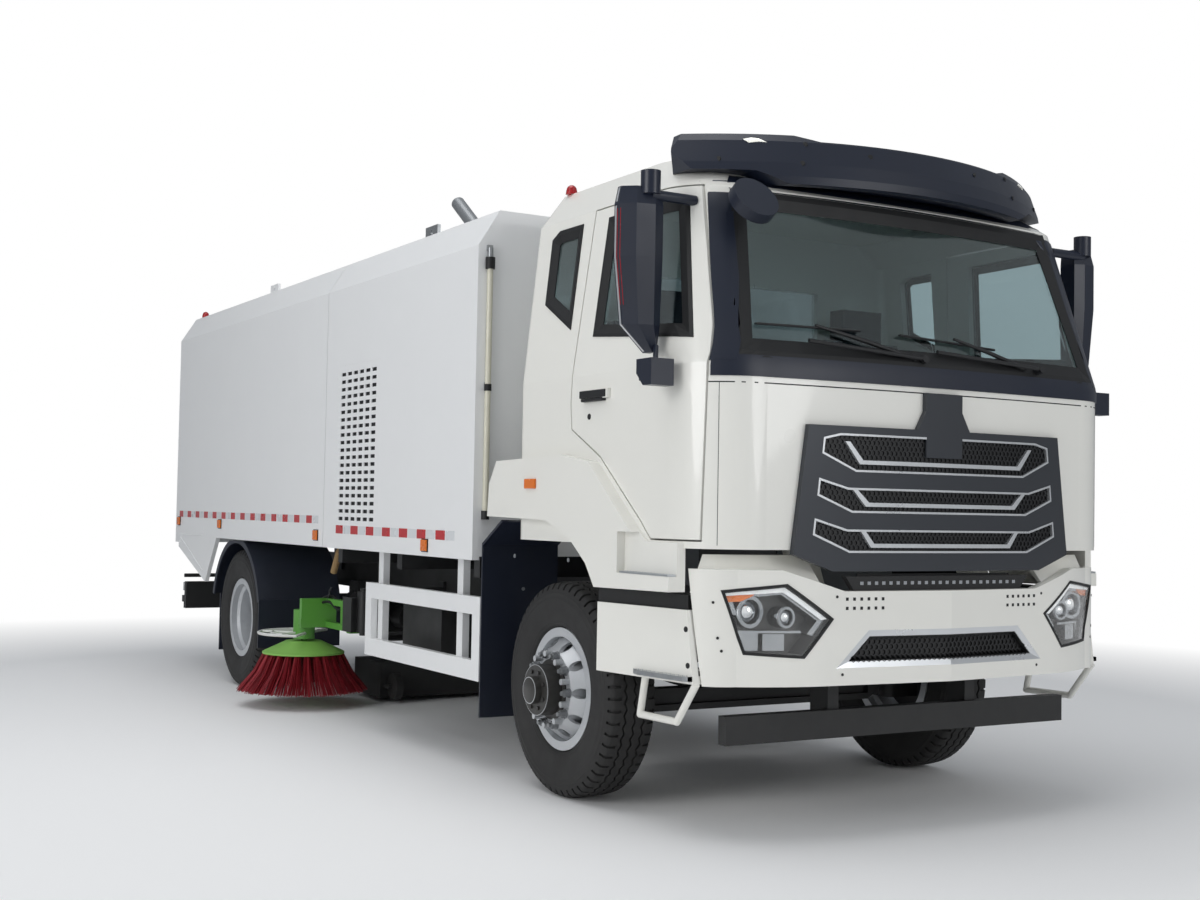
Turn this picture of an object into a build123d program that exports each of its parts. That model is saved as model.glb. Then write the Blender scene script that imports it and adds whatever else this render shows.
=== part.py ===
from build123d import *
import os
from math import atan2, cos, degrees, hypot, pi, radians, sin, sqrt

# Street sweeper truck. Millimetres. +X is forward, +Y is the vehicle's left, +Z is up.
# The model is laid out from the front axle line on the ground, and every piece is moved
# forward by front_axle_x when it is written, so that the origin is under the truck's middle.

# Overall layout
wheelbase = 4770
nose_reach = 1420
tail_reach = 6660
front_axle_x = (tail_reach - nose_reach) / 2
brush_lead = 1190
swing_lead = 730
brush_x = brush_lead - wheelbase
swing_x = brush_x + swing_lead

# Fits and general allowances
seat_gap = 0.3
run_gap = 0.05
door_gap = 8
panel_gap = 8
cut_over = 60

# Tyres and rims
tyre_radius = 505
tyre_half_width = 131
tread_half_width = 104
tyre_crown_drop = 12
tyre_wall = 18
tread_wall = 26
front_wheel_y = 1020
rear_outer_wheel_y = 1080
twin_spacing = 300
rim_half_width = 105
rim_flange_radius = 287
rim_bead_radius = 254
rim_well_radius = 226
rim_well_half = 45
rim_wall = 9
disc_offset = 150
disc_face_radius = 182
disc_root_radius = 236
disc_root_offset = 70
hub_hole_radius = 142
hand_hole_radius = 24
hand_hole_circle = 209
hub_radius = 118
hub_length = 95
hub_cap_radius = 62
hub_cap_length = 35
drum_radius = 205
drum_width = 90
spindle_radius = 40
stud_circle = 167.5
stud_radius = 14
stud_length = 42
stud_count = 10

# Axles and steering
kingpin_y = 900
kingpin_radius = 25
kingpin_height = 260
knuckle_eye_radius = 52
beam_half_height = 55
beam_half_width = 45
beam_drop = 75
beam_eye_radius = 60
beam_eye_height = 110
steering_arm_length = 190
steering_arm_size = 34
diff_radius = 210
diff_half_length = 190
axle_tube_radius = 70
brake_pot_radius = 75
brake_pot_length = 150

# Ladder frame
rail_y = 430
rail_top = 980
rail_height = 240
rail_flange = 75
rail_wall = 8
frame_front_x = 1120
frame_rear_x = -6080
cross_tube_radius = 45
subframe_width = 70
underrun_x = 1085
underrun_depth = 55
underrun_half = 978
underrun_low = 389
underrun_high = 509
hanger_width = 60

# Leaf springs
spring_width = 80
spring_thickness = 55
spring_half_length = 640
spring_camber = 90
rear_spring_y = 515

# Engine and driveline
engine_front_x = 640
engine_rear_x = -560
engine_half_width = 350
engine_low = 610
engine_high = 1390
gearbox_length = 760
gearbox_radius = 210
gearbox_z = 740
prop_radius = 48
flange_radius = 90
flange_width = 62

# Cab shell. Section columns: height, half width, nose x at the middle, corner radius, bow
cab_rear_x = -350
cab_floor_z = 1200
cab_belt_z = 1960
cab_eave_z = 2735
cab_roof_z = 2910
cab_wall = 55
lug_top_front_x = 1040
lug_top_rear_x = 920
cab_rear_radius = 70
cab_sections = [
    (cab_floor_z, 1196, 1340, 290, 42),
    (cab_belt_z, 1199, 1340, 290, 42),
    (cab_eave_z, 1116, 1100, 250, 52),
    (cab_roof_z, 985, 880, 250, 60),
]
tunnel_half_width = 430
tunnel_top = 1500
tunnel_front_x = 760
tunnel_wall = 40
windscreen_low = 2015
windscreen_high = 2690
windscreen_low_half = 1010
windscreen_high_half = 905
glass_inset = 14
glass_thickness = 8
rear_window_low = 1980
rear_window_high = 2560
rear_window_half = 620

# Doors, side view from the front axle line: x and height of each corner
door_outline = [
    (1172, 1236), (1190, 2000), (1168, 2120), (985, 2731), (249, 2731),
    (188, 1832), (200, 1720), (459, 1590), (803, 1311), (884, 1236),
]
door_window = [(365, 2150), (392, 2665), (945, 2668), (1095, 2085)]
quarter_window = [(-131, 2347), (-131, 2640), (-80, 2667), (118, 2667), (108, 2222)]
door_depth = 330
handle_x = 300
handle_z = 1868
handle_length = 240
handle_height = 42
handle_depth = 26

# Upper fender and step of the cab, side view
fender_y = 1250
fender_depth = 80
fender_outline = [
    (-561, 1309), (-546, 1470), (-470, 1583), (186, 1600), (440, 1565), (770, 1290),
    (868, 1222), (1108, 1222), (1108, 1022), (506, 1012), (429, 1113), (290, 1212), (49, 1298),
]
upper_step_rear_x = 700
upper_step_front_x = 1108
upper_step_z = 1084

# Grille on the cab's nose
grille_proud = 26
grille_outline = [(722, 1719), (793, 1182), (597, 1113)]
emblem_half_low = 150
emblem_half_high = 60
emblem_top = 1880
plaque_half = 104
plaque_low = 1600
slot_depth = 18
mesh_thickness = 3
trim_width = 9
trim_lift = 2
# Slot rows, columns: outer y, outer top z, outer low z, floor y, floor z, inner y, inner top z
slot_rows = [
    (650, 1669, 1601, 485, 1528, 565, 1688),
    (672, 1500, 1426, 503, 1357, 522, 1462),
    (692, 1333, 1263, 515, 1190, 526, 1288),
]
# Bright bars in the slots, columns: top y, top z, floor y, floor z
bar_rows = [
    (541, 1655, 465, 1561),
    (505, 1459, 432, 1384),
    (459, 1285, 403, 1212),
]
bar_width = 17
bar_slant_share = 1.4

# Sun visor: side section at the middle, and front outline
visor_radius = 1704
visor_section = [
    (820, 2911), (1060, 2972), (1205, 2985), (1232, 2950), (1266, 2850), (1280, 2790), (1276, 2757),
    (1250, 2752), (1080, 2790), (820, 2800),
]
visor_front = [
    (0, 2957), (521, 2957), (623, 2984), (1040, 2984), (1103, 2902), (1045, 2816), (811, 2811),
    (680, 2757), (0, 2750),
]
visor_half_angle = 41

# Mirrors: heads on the doors. Plan shape as shares of depth and width; columns of the heights:
# height, inner y, outer y, depth
mirror_x = 900
mirror_plan_shares = [(0, 0), (0.8, 0.04), (1, 0.3), (0.85, 0.72), (0.35, 1), (0, 1)]
mirror_heights = [
    (2010, 1228, 1262, 70),
    (2120, 1220, 1380, 92),
    (2400, 1216, 1412, 104),
    (2620, 1216, 1412, 104),
    (2695, 1222, 1396, 84),
]
mirror_arm_radius = 22
mirror_arm_share = 0.75
mirror_knob_y = 1285
mirror_knob_radius = 42
mirror_knob_top = 2762
mirror_arm_z = 2664
low_mirror_x = [985, 1100]
low_mirror_y = [1235, 1345]
low_mirror_z = [1862, 1972]
low_mirror_slope_share = 0.45
front_mirror_y = -930
front_mirror_x = 1215
front_mirror_z = 2640
front_mirror_radius = 105
front_mirror_depth = 52
front_mirror_lean = 34
front_mirror_foot = (1000, -930, 2672)

# Wipers
wiper_radius = 9
wiper_stand_off = 16
wiper_pivots = [(-90, 2030), (620, 2030)]
wiper_length = 620
wiper_rise_share = 0.06

# Cab inside
seat_width = 500
seat_depth = 480
seat_height = 120
seat_back_height = 620
seat_back_depth = 110
seat_x = 60
seat_z = 1640
seat_y = 640
seat_base_width = 380
headrest_height = 170
headrest_width = 260
dash_depth = 400
dash_low = 1560
dash_high = 1950
dash_front_x = 1300
dash_end_gap = 60
wheel_rim_radius = 225
wheel_rim_tube = 16
wheel_tilt = 52
wheel_x = 760
wheel_z = 1900
column_radius = 32
column_length = 260

# Bumper, plan view of the left half and front view openings
bumper_low = 645
bumper_high = 1118
bumper_wall = 45
bumper_rear_x = 1100
bumper_rear_low_x = 1178
bumper_rear_high_x = 1112
bumper_side_y = 1160
bumper_corner = [(1200, 1108), (1250, 1010)]
bumper_cheek = [(1330, 820), (1368, 610)]
bumper_nose_x = 1420
bumper_dip_z = 1032
bumper_dip_low_half = 550
bumper_dip_high_half = 840
shelf_front = [(1114, 1150), (1196, 1098), (1248, 1000), (1328, 812), (1366, 604), (1414, 0)]
shelf_rear = [(1114, 1090), (1150, 1050), (1180, 960), (1205, 830), (1215, 604), (1225, 0)]
shelf_low = 1020
shelf_high = 1176
shelf_wall = 26
shelf_inner_half = 640
top_flange_depth = 110
top_flange_thickness = 14
strip_x = [1318, 1346]
strip_half_low = 480
strip_half_high = 527
strip_z = [bumper_dip_z + seat_gap, 1092]
lamp_outline = [(1066, 1029), (820, 1056), (616, 918), (745, 766), (982, 782)]
lamp_inset = 10
lamp_depth = 110
lamp_wall = 8
lamp_unit_inset = 26
# Lamp units, columns: front x, y, z, outer radius, inner radius
projectors = [
    (1236, 934, 945, 66, 50),
    (1298, 796, 924, 44, 33),
]
# Lower reflectors, columns: y from, y to, z from, z to
reflectors = [
    (918, 1031, 790, 866),
    (813, 900, 790, 858),
]
lamp_bar_z = [861, 871]
lamp_bar_y = [743, 1051]
lamp_band_edge = 12
lamp_band_width = 24
lamp_band_cut = [(1200, 700), (1200, 940), (1030, 940), (760, 875), (560, 800), (560, 700)]
intake_outline = [(430, 870), (590, 716)]
intake_inset = 12
intake_thickness = 34
intake_band = 30
intake_mesh_inset = 34
intake_mesh_thickness = 6

# Lower step panels
step_outer_y = 1250
step_front_y = 1165
step_wall = 30
step_rear_x = 545
step_front_x = 1126
step_front_low_x = 1170
step_top = 950
step_low = 652
step_tread_z = 685
step_tread_depth = 170
hoop_radius = 16
hoop_y = 1150
hoop_outline = [(790, 652), (752, 482), (1036, 486), (1170, 652)]

# Mudguards
flap_thickness = 10
front_flap_x = -662
front_flap_low = 290
front_flap_inner_y = 790
front_flap_outer_y = 1225
front_guard_outline = [(-662, 1170), (-450, 1292)]
rear_guard_radius = 590
rear_guard_thickness = 12
rear_guard_inner_y = 630
rear_guard_outer_y = 1240
rear_guard_lip = 40
rear_guard_start_angle = 15
rear_guard_end_angle = 165
rear_guard_top = 1070
rear_flap_low = 216
apron_low = 330

# Side guards
guard_y = 1200
guard_depth = 40
guard_back = 570
guard_rear_x = swing_x + guard_back
guard_front_x = -723
guard_top_rail = [800, 892]
guard_low_rail = [462, 564]
guard_end_width = 90
guard_post_step = 100
guard_posts = [guard_rear_x + guard_post_step, -1080]
guard_post_width = 70

# Under-floor boxes and tanks
box_back = 700
box_rear_x = swing_x + box_back
battery_box = [box_rear_x, -1600, 620, 1010, 455, 790]
fuel_tank = [box_rear_x, -960, 560, 1100, 470, 960]
fuel_tank_radius = 110
air_tank_radius = 120
air_tank_x = [-1450, -820]
air_tank_y = -760
air_tank_z = 700

# Body: service module and hopper
body_half = 1250
body_low = 1082
body_eave = 2703
body_roof = 2894
body_roof_half = 1130
body_wall = 40
floor_z = 1100
floor_thickness = 40
module_front_x = -724
module_rear_x = -2903
hopper_front_x = module_rear_x - panel_gap
hopper_rear_x = -6330
rest_pad_back = 269
rest_pad_length = 120
tailgate_rear_x = -6430
skirt_outline = [(-5100, 1129), (-5250, 1082), (-5530, 732), (-6330, 985), (-6330, 1129)]
skirt_thickness = 30
hopper_pivot_x = -6050
hopper_pivot_z = 1020
hopper_pin_radius = 25
pivot_plate_top = 1055
pivot_plate_half = 48
hopper_lug_y = 320
hopper_lug_width = 36
hopper_lug_radius = 60
tail_hinge_rise = 24
tail_hinge_back = 22
tail_pin_radius = 10
tail_lug_width = 50
tail_lug_radius = 20
tail_lug_y = 800
tail_low = 1020
tail_border = 110
tail_bays = 4
tail_rib_width = 70
tail_panel_depth = 35
vent_x = [-2700, -2010]
vent_z = [1215, 2215]
vent_thickness = 6
vent_columns = 6
vent_rows = 20
vent_slot_length = 72
vent_slot_height = 22
vent_first_x = -2605
vent_last_x = -2105
vent_first_z = 1268
vent_last_z = 2160
aux_engine = [-2600, -1600, 420, 1150, 1980]

# Roof fittings
eye_radius = 42
eye_thickness = 20
eye_places = [-4590, -1750]
eye_y = 1050
hatch = [-4000, -3280, 330, 3060]
stack_radius = 42
stack_x = -1900
stack_y = -700
stack_top = 3225
stack_bend_z = 3030
stack_lean = 270
tube_x = -705
tube_y = -1190
tube_radius = 14
tube_low = 1310
tube_high = 2690
tube_clamp_z = 1980

# Suction nozzle and its duct
nozzle_lead = 810
nozzle_depth = 480
nozzle_x = [nozzle_lead - wheelbase, nozzle_lead + nozzle_depth - wheelbase]
nozzle_half = 600
nozzle_low = 30
nozzle_high = 270
nozzle_wall = 14
duct_radius = 118
duct_lead = 1130
duct_x = duct_lead - wheelbase
duct_y = 215
duct_wall = 6
nozzle_wheel_radius = 90
nozzle_wheel_width = 50
nozzle_wheel_lift = 25

# Rear underrun, lamps and spray pipe
rear_bar_x = -6535
rear_bar_depth = 70
rear_bar_half = 1120
rear_bar_low = 455
rear_bar_high = 560
rear_hanger_z = 600
tail_lamp_width = 330
tail_lamp_depth = 55
tail_lamp_height = 90
tail_lamp_low = 590
spray_pipe_radius = 16
spray_pipe_x = -6600
spray_pipe_z = 730

# Side brush, its arm and its carrier
brush_y = 1120
brush_tip_z = 100
brush_tip_radius = 445
brush_rim_radius = 273
brush_rim_z = 360
brush_disc_top = 432
brush_disc_top_radius = 120
brush_disc_wall = 12
brush_shaft_radius = 20
tine_count = 26
tine_root_width = 44
tine_tip_width = 84
tine_root_depth = 26
tine_tip_depth = 34
motor_radius = 72
motor_low = 446
motor_high = 640
swing_y = 985
swing_pin_radius = 24
swing_tube_radius = 42
swing_low = 540
swing_high = 800
lift_back = 110
lift_x = swing_x - lift_back
lift_z = 640
lift_pin_radius = 16
arm_half_width = 55
arm_plate = 14
arm_bar = 40
arm_bar_low = 545
arm_bar_high = 700
bracket_thickness = 20
bracket_play = 10

# Hopper lift cylinder
ram_foot_x = -5200
ram_foot_z = 800
ram_head_x = -3900
ram_head_z = 1050
ram_barrel_radius = 62
ram_rod_radius = 34
ram_eye_radius = 48
ram_eye_width = 76
ram_pin_radius = 20
ram_wall = 12
ram_barrel_share = 0.8


def block(x0, x1, y0, y1, z0, z1):
    """A box given by its limits."""
    size = Box(x1 - x0, y1 - y0, z1 - z0, align=(Align.MIN, Align.MIN, Align.MIN))
    return Pos(x0, y0, z0) * size


def rod(start, end, radius):
    """A round bar between two points."""
    start_point = Vector(*start)
    span = Vector(*end) - start_point
    plane = Plane(origin=start_point, z_dir=span)
    return plane * Cylinder(radius, span.length, align=(Align.CENTER, Align.CENTER, Align.MIN))


def cross_bar(x, z, radius, y0, y1):
    """A round bar across the vehicle."""
    return rod((x, y0, z), (x, y1, z), radius)


def side_plate(points, y0, y1):
    """An outline in the side view (x, z), as thick as y0 to y1."""
    face = make_face(Polyline(*[(x, z) for x, z in points], close=True))
    return extrude(Plane.XZ.offset(-y1) * face, amount=y1 - y0)


def front_plate(points, x0, x1):
    """An outline in the front view (y, z), as deep as x0 to x1."""
    face = make_face(Polyline(*[(y, z) for y, z in points], close=True))
    return extrude(Plane.YZ.offset(x0) * face, amount=x1 - x0)


def symmetric(points):
    """A half outline in the front view, closed by its mirror image."""
    mirrored = [(-y, z) for y, z in reversed(points) if y != 0]
    return points + mirrored


def mirrored(shape):
    """The same piece on the vehicle's other side."""
    return mirror(shape, about=Plane.XZ)


def pair(shape):
    """A piece and its mirror image, in one node."""
    return shape + mirrored(shape)


def turned(points):
    """A round piece on a wheel's own axis from (radius, offset) pairs."""
    face = make_face(Polyline(*points, close=True))
    return revolve(face, Axis.Y, 360)


def save(name, shape):
    """Write a piece, moved so that the origin is under the truck's middle."""
    export_step(Pos(front_axle_x, 0, 0) * shape, f"parts/{name}.step")


os.makedirs("parts", exist_ok=True)


# Wheels. Each is turned about the Y axis with +Y outboard, then set on its axle line.

def tyre():
    """An open tyre: rounded walls, flat tread, beads on the rim's seats."""
    bead = rim_bead_radius + seat_gap
    bead_half = rim_half_width - rim_wall
    wall_radius = (tyre_radius + bead) / 2
    shoulder = tyre_radius - tyre_crown_drop
    outer = [
        (bead, bead_half),
        (rim_flange_radius + seat_gap, bead_half),
        (wall_radius, tyre_half_width),
        (shoulder - tread_wall, tyre_half_width - tyre_crown_drop / 2),
        (shoulder, tread_half_width + tyre_crown_drop / 2),
        (tyre_radius, tread_half_width - tyre_crown_drop),
    ]
    inner = [
        (tyre_radius - tread_wall, 0),
        (shoulder - tread_wall, tread_half_width - tyre_wall),
        (wall_radius, tyre_half_width - tyre_wall),
        (bead, bead_half - tyre_wall),
    ]
    outer_far = [(r, -y) for r, y in reversed(outer)]
    inner_far = [(r, -y) for r, y in reversed(inner[1:])]
    return turned(outer + outer_far + inner_far + inner)


def rim():
    """Barrel with drop well and flanges, and a dished disc with hand holes and studs."""
    bead_half = rim_half_width - rim_wall
    barrel_outer = [
        (rim_flange_radius, rim_half_width),
        (rim_flange_radius, bead_half + seat_gap),
        (rim_bead_radius, bead_half + seat_gap),
        (rim_bead_radius, rim_well_half + rim_wall * 2),
        (rim_well_radius + rim_wall, rim_well_half),
    ]
    barrel_inner = [
        (rim_well_radius, rim_well_half),
        (rim_bead_radius - rim_wall, rim_well_half + rim_wall * 2),
        (rim_bead_radius - rim_wall, rim_half_width),
    ]
    far_outer = [(r, -y) for r, y in reversed(barrel_outer)]
    far_inner = [(r, -y) for r, y in reversed(barrel_inner)]
    barrel = turned(barrel_outer + far_outer + far_inner + barrel_inner)
    disc = turned([
        (hub_hole_radius, disc_offset - rim_wall),
        (hub_hole_radius, disc_offset),
        (disc_face_radius, disc_offset),
        (disc_root_radius + rim_wall / 2, disc_root_offset),
        (disc_root_radius + rim_wall / 2, rim_well_half - rim_wall),
        (rim_well_radius, rim_well_half - rim_wall),
        (rim_well_radius, disc_root_offset - rim_wall),
        (disc_face_radius - rim_wall, disc_offset - rim_wall),
    ])
    hole = Pos(0, disc_offset, hand_hole_circle) * Rot(90, 0, 0) * Cylinder(hand_hole_radius, disc_offset)
    for index in range(stud_count):
        disc = disc - Rot(0, (index + 0.5) * 360 / stud_count, 0) * hole
    return barrel + disc


def hub(sign):
    """Drum and hub that carry the disc; sign -1 dishes the disc inwards."""
    face = sign * (disc_offset - rim_wall - seat_gap)
    drum_end = face - drum_width
    drum = rod((0, drum_end, 0), (0, face, 0), drum_radius - rim_wall * 2)
    nose = rod((0, face, 0), (0, face + hub_length, 0), hub_radius)
    cap = rod((0, face + hub_length, 0), (0, face + hub_length + hub_cap_length, 0), hub_cap_radius)
    return drum + nose + cap


def studs(face):
    """Wheel nuts on the disc's bolt face, at the named offset from the wheel's middle."""
    nuts = None
    stud = rod((0, face, stud_circle), (0, face + stud_length, stud_circle), stud_radius)
    for index in range(stud_count):
        nut = Rot(0, index * 360 / stud_count, 0) * stud
        nuts = nut if nuts is None else nuts + nut
    return nuts


def at_wheel(shape, x, y):
    """A wheel piece set on its axle line."""
    return Pos(x, y, tyre_radius) * shape


front_tyre = at_wheel(tyre(), 0, front_wheel_y)
front_rim = at_wheel(rim() + hub(1) + studs(disc_offset), 0, front_wheel_y)
front_spindle_end = front_wheel_y + disc_offset
spindle_start = kingpin_y
front_rim = front_rim - rod((0, spindle_start, tyre_radius), (0, front_spindle_end + run_gap, tyre_radius),
                            spindle_radius + run_gap)
save("front_tyre_left", front_tyre)
save("front_tyre_right", mirrored(front_tyre))
save("front_rim_left", front_rim)
save("front_rim_right", mirrored(front_rim))

rear_inner_wheel_y = rear_outer_wheel_y - twin_spacing
rear_tyres = at_wheel(tyre(), -wheelbase, rear_outer_wheel_y) + at_wheel(tyre(), -wheelbase,
                                                                         rear_inner_wheel_y)
dished_rim = mirror(rim(), about=Plane.XZ)
joint_face_y = rear_outer_wheel_y - disc_offset
rear_hub_y = joint_face_y + hub_length
rear_hub = rod((-wheelbase, joint_face_y - drum_width, tyre_radius),
               (-wheelbase, rear_hub_y, tyre_radius), hub_radius + rim_wall)
rear_cap = rod((-wheelbase, rear_hub_y, tyre_radius),
               (-wheelbase, rear_hub_y + hub_cap_length, tyre_radius), hub_cap_radius)
hub_flange = rod((-wheelbase, joint_face_y - rim_wall, tyre_radius),
                 (-wheelbase, joint_face_y + rim_wall, tyre_radius),
                 hub_hole_radius + rim_wall)
rear_rims = at_wheel(dished_rim, -wheelbase, rear_outer_wheel_y) + at_wheel(rim(), -wheelbase,
                                                                            rear_inner_wheel_y)
rear_rims = rear_rims + rear_hub + rear_cap + hub_flange
rear_rims = rear_rims + at_wheel(studs(0), -wheelbase, joint_face_y + rim_wall)
rear_spindle_end = joint_face_y - drum_width / 2
rear_rims = rear_rims - rod((-wheelbase, 0, tyre_radius),
                            (-wheelbase, rear_spindle_end + run_gap, tyre_radius),
                            axle_tube_radius + run_gap)
save("rear_tyres_left", rear_tyres)
save("rear_tyres_right", mirrored(rear_tyres))
save("rear_rims_left", rear_rims)
save("rear_rims_right", mirrored(rear_rims))


# Front axle beam: dropped middle, raised eyes round the kingpins.

beam_z = tyre_radius - beam_drop
beam_inner = kingpin_y - beam_eye_radius * 3
beam = block(-beam_half_width, beam_half_width, -beam_inner, beam_inner, beam_z - beam_half_height,
             beam_z + beam_half_height)
beam_web = beam_half_width / 3
flange_share = 0.28
cut_half = beam_half_height * (1 - flange_share * 2)
groove = block(beam_web, beam_half_width, -beam_inner, beam_inner, beam_z - cut_half, beam_z + cut_half)
beam = beam - groove - mirror(groove, about=Plane.YZ)
rise = [
    (beam_inner, beam_z - beam_half_height),
    (beam_inner, beam_z + beam_half_height),
    (kingpin_y - beam_eye_radius, tyre_radius + beam_eye_height / 2),
    (kingpin_y, tyre_radius + beam_eye_height / 2),
    (kingpin_y, tyre_radius - beam_eye_height / 2),
    (kingpin_y - beam_eye_radius, tyre_radius - beam_eye_height / 2),
]
rise_plate = front_plate(rise, -beam_half_width, beam_half_width)
beam_eye = rod((0, kingpin_y, tyre_radius - beam_eye_height / 2),
               (0, kingpin_y, tyre_radius + beam_eye_height / 2),
               beam_eye_radius)
front_axle = beam + pair(rise_plate + beam_eye)
kingpin_bore = rod((0, kingpin_y, 0), (0, kingpin_y, tyre_radius * 2), kingpin_radius + run_gap)
front_axle = front_axle - pair(kingpin_bore)
save("front_axle", front_axle)

# Steering knuckle: yoke above and below the beam's eye, kingpin, brake plate, spindle, arm.

ear_gap = 6
ear_low = [tyre_radius - kingpin_height / 2, tyre_radius - beam_eye_height / 2 - ear_gap]
ear_high = [tyre_radius + beam_eye_height / 2 + ear_gap, tyre_radius + kingpin_height / 2]
drum_inner_y = front_wheel_y + disc_offset - rim_wall - seat_gap - drum_width
plate_y = drum_inner_y - ear_gap - rim_wall
yoke_y = kingpin_y + beam_eye_radius + ear_gap
knuckle = rod((0, kingpin_y, ear_low[0]), (0, kingpin_y, ear_high[1]), kingpin_radius)
for low, high in (ear_low, ear_high):
    ear = rod((0, kingpin_y, low), (0, kingpin_y, high), knuckle_eye_radius)
    neck = block(-knuckle_eye_radius, knuckle_eye_radius, kingpin_y, plate_y + rim_wall, low, high)
    knuckle = knuckle + ear + neck
knuckle = knuckle + block(-knuckle_eye_radius, knuckle_eye_radius, yoke_y, plate_y + rim_wall, ear_low[0],
                          ear_high[1])
knuckle = knuckle + rod((0, plate_y, tyre_radius), (0, plate_y + rim_wall, tyre_radius), drum_radius)
knuckle = knuckle + rod((0, plate_y, tyre_radius), (0, front_spindle_end - rim_wall, tyre_radius),
                        spindle_radius)
arm_end_y = kingpin_y - steering_arm_size
steering_arm = block(-steering_arm_length, 0, arm_end_y, kingpin_y, ear_low[0],
                     ear_low[0] + steering_arm_size)
knuckle = knuckle + steering_arm
save("knuckle_left", knuckle)
save("knuckle_right", mirrored(knuckle))

# Rear axle: banjo housing, tubes out to the hubs, nose, brake chambers.

housing = rod((-wheelbase, -diff_half_length / 2, tyre_radius),
              (-wheelbase, diff_half_length / 2, tyre_radius), diff_radius)
nose = rod((-wheelbase, 0, tyre_radius), (-wheelbase + diff_radius + flange_width * 2, 0, tyre_radius),
           flange_radius)
axle_tubes = rod((-wheelbase, -rear_spindle_end, tyre_radius),
                 (-wheelbase, rear_spindle_end, tyre_radius), axle_tube_radius)
pot_y = rear_spring_y - spring_width * 2
pot_x = -wheelbase - axle_tube_radius
brake_pot = rod((pot_x, pot_y, tyre_radius), (pot_x - brake_pot_length, pot_y, tyre_radius), brake_pot_radius)
rear_axle = housing + nose + axle_tubes + pair(brake_pot)
save("rear_axle", rear_axle)


# Ladder frame: two channel rails, cross tubes, subframe, pivots, front underrun bar.

def channel(y, x0, x1, top, height, width):
    """A channel rail whose flanges face the middle of the vehicle."""
    outer = block(x0, x1, y - width, y, top - height, top)
    inner = block(x0 - cut_over, x1 + cut_over, y - width - cut_over, y - rail_wall,
                  top - height + rail_wall, top - rail_wall)
    return outer - inner


rail_low = rail_top - rail_height
subframe_height = floor_z - seat_gap - rail_top
rail_mid = rail_top - rail_height / 2
cross_x = [frame_front_x - cross_tube_radius * 3, -1500, -2300, -3300, -4200, ram_foot_x,
           frame_rear_x + cross_tube_radius * 3]
frame = pair(channel(rail_y, frame_rear_x, frame_front_x, rail_top, rail_height, rail_flange))
for x in cross_x[1:]:
    if x != ram_foot_x:
        frame = frame + cross_bar(x, rail_mid, cross_tube_radius, -rail_y + rail_wall / 2,
                                  rail_y - rail_wall / 2)
cab_pivot_x = 1150
cab_pivot_z = 850
cab_pin_radius = 20
cab_pin_reach = 120
pivot_eye = 45
frame = frame + cross_bar(frame_front_x, cab_pivot_z, pivot_eye, -rail_y, rail_y)
cab_pin = cross_bar(cab_pivot_x, cab_pivot_z, cab_pin_radius, rail_y - rail_wall, rail_y + cab_pin_reach)
frame = frame + pair(cab_pin)
sub_x1 = module_front_x + cut_over
subframe = block(module_rear_x, sub_x1, rail_y - subframe_width, rail_y, rail_top, rail_top + subframe_height)
frame = frame + pair(subframe)
outrigger_x = [module_front_x - subframe_width, (module_front_x + module_rear_x) / 2,
               module_rear_x + subframe_width * 2]
for x in outrigger_x:
    beam_across = block(x - subframe_width, x, -body_half + body_wall * 2, body_half - body_wall * 2,
                        rail_top + rail_wall,
                        rail_top + subframe_height)
    frame = frame + beam_across
rest_pad_x = hopper_front_x - rest_pad_back
rest_pad = block(rest_pad_x - rest_pad_length, rest_pad_x, rail_y - subframe_width, rail_y, rail_top,
                 floor_z - panel_gap)
frame = frame + pair(rest_pad)
pivot_plate = block(hopper_pivot_x - pivot_plate_half, hopper_pivot_x + pivot_plate_half,
                    rail_y - rail_wall * 4, rail_y,
                    rail_top - rail_height / 2, pivot_plate_top)
frame = frame + pair(pivot_plate)
frame = frame + cross_bar(hopper_pivot_x, hopper_pivot_z, hopper_pin_radius, -rail_y, rail_y)
ram_pin = cross_bar(ram_foot_x, ram_foot_z, ram_pin_radius, -rail_y + rail_wall, rail_y - rail_wall)
frame = frame + ram_pin
bar_front = underrun_x + underrun_depth
underrun = block(underrun_x, bar_front, -underrun_half, underrun_half, underrun_low, underrun_high)
hanger = block(frame_front_x - hanger_width * 2, frame_front_x, rail_y - hanger_width, rail_y,
               underrun_low, rail_low + rail_wall)
frame = frame + underrun + pair(hanger)
hanger_foot = block(frame_rear_x - hanger_width / 2, frame_rear_x + hanger_width, rail_y - hanger_width,
                    rail_y,
                    rear_bar_low, rail_low + rail_wall)
hanger_arm = block(rear_bar_x, frame_rear_x, rail_y - hanger_width, rail_y, rear_bar_low, rear_hanger_z)
frame = frame + pair(hanger_foot + hanger_arm)
bracket_arm = block(swing_x - swing_tube_radius, swing_x + swing_tube_radius, rail_y - rail_wall, swing_y,
                    swing_high + seat_gap * bracket_play, swing_high + bracket_thickness)
bracket_low = block(swing_x - swing_tube_radius, swing_x + swing_tube_radius, rail_y - rail_wall, swing_y,
                    swing_low - bracket_thickness, swing_low - seat_gap * bracket_play)
bracket_post = block(swing_x - swing_tube_radius, swing_x + swing_tube_radius, rail_y - rail_wall,
                     rail_y + bracket_thickness,
                     swing_low - bracket_thickness, rail_mid)
swing_pin = rod((swing_x, swing_y, swing_low - bracket_thickness),
                (swing_x, swing_y, swing_high + bracket_thickness),
                swing_pin_radius)
frame = frame + pair(bracket_arm + bracket_low + bracket_post + swing_pin)
save("frame", frame)


# Leaf springs: cambered packs with hangers under the rails.

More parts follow.
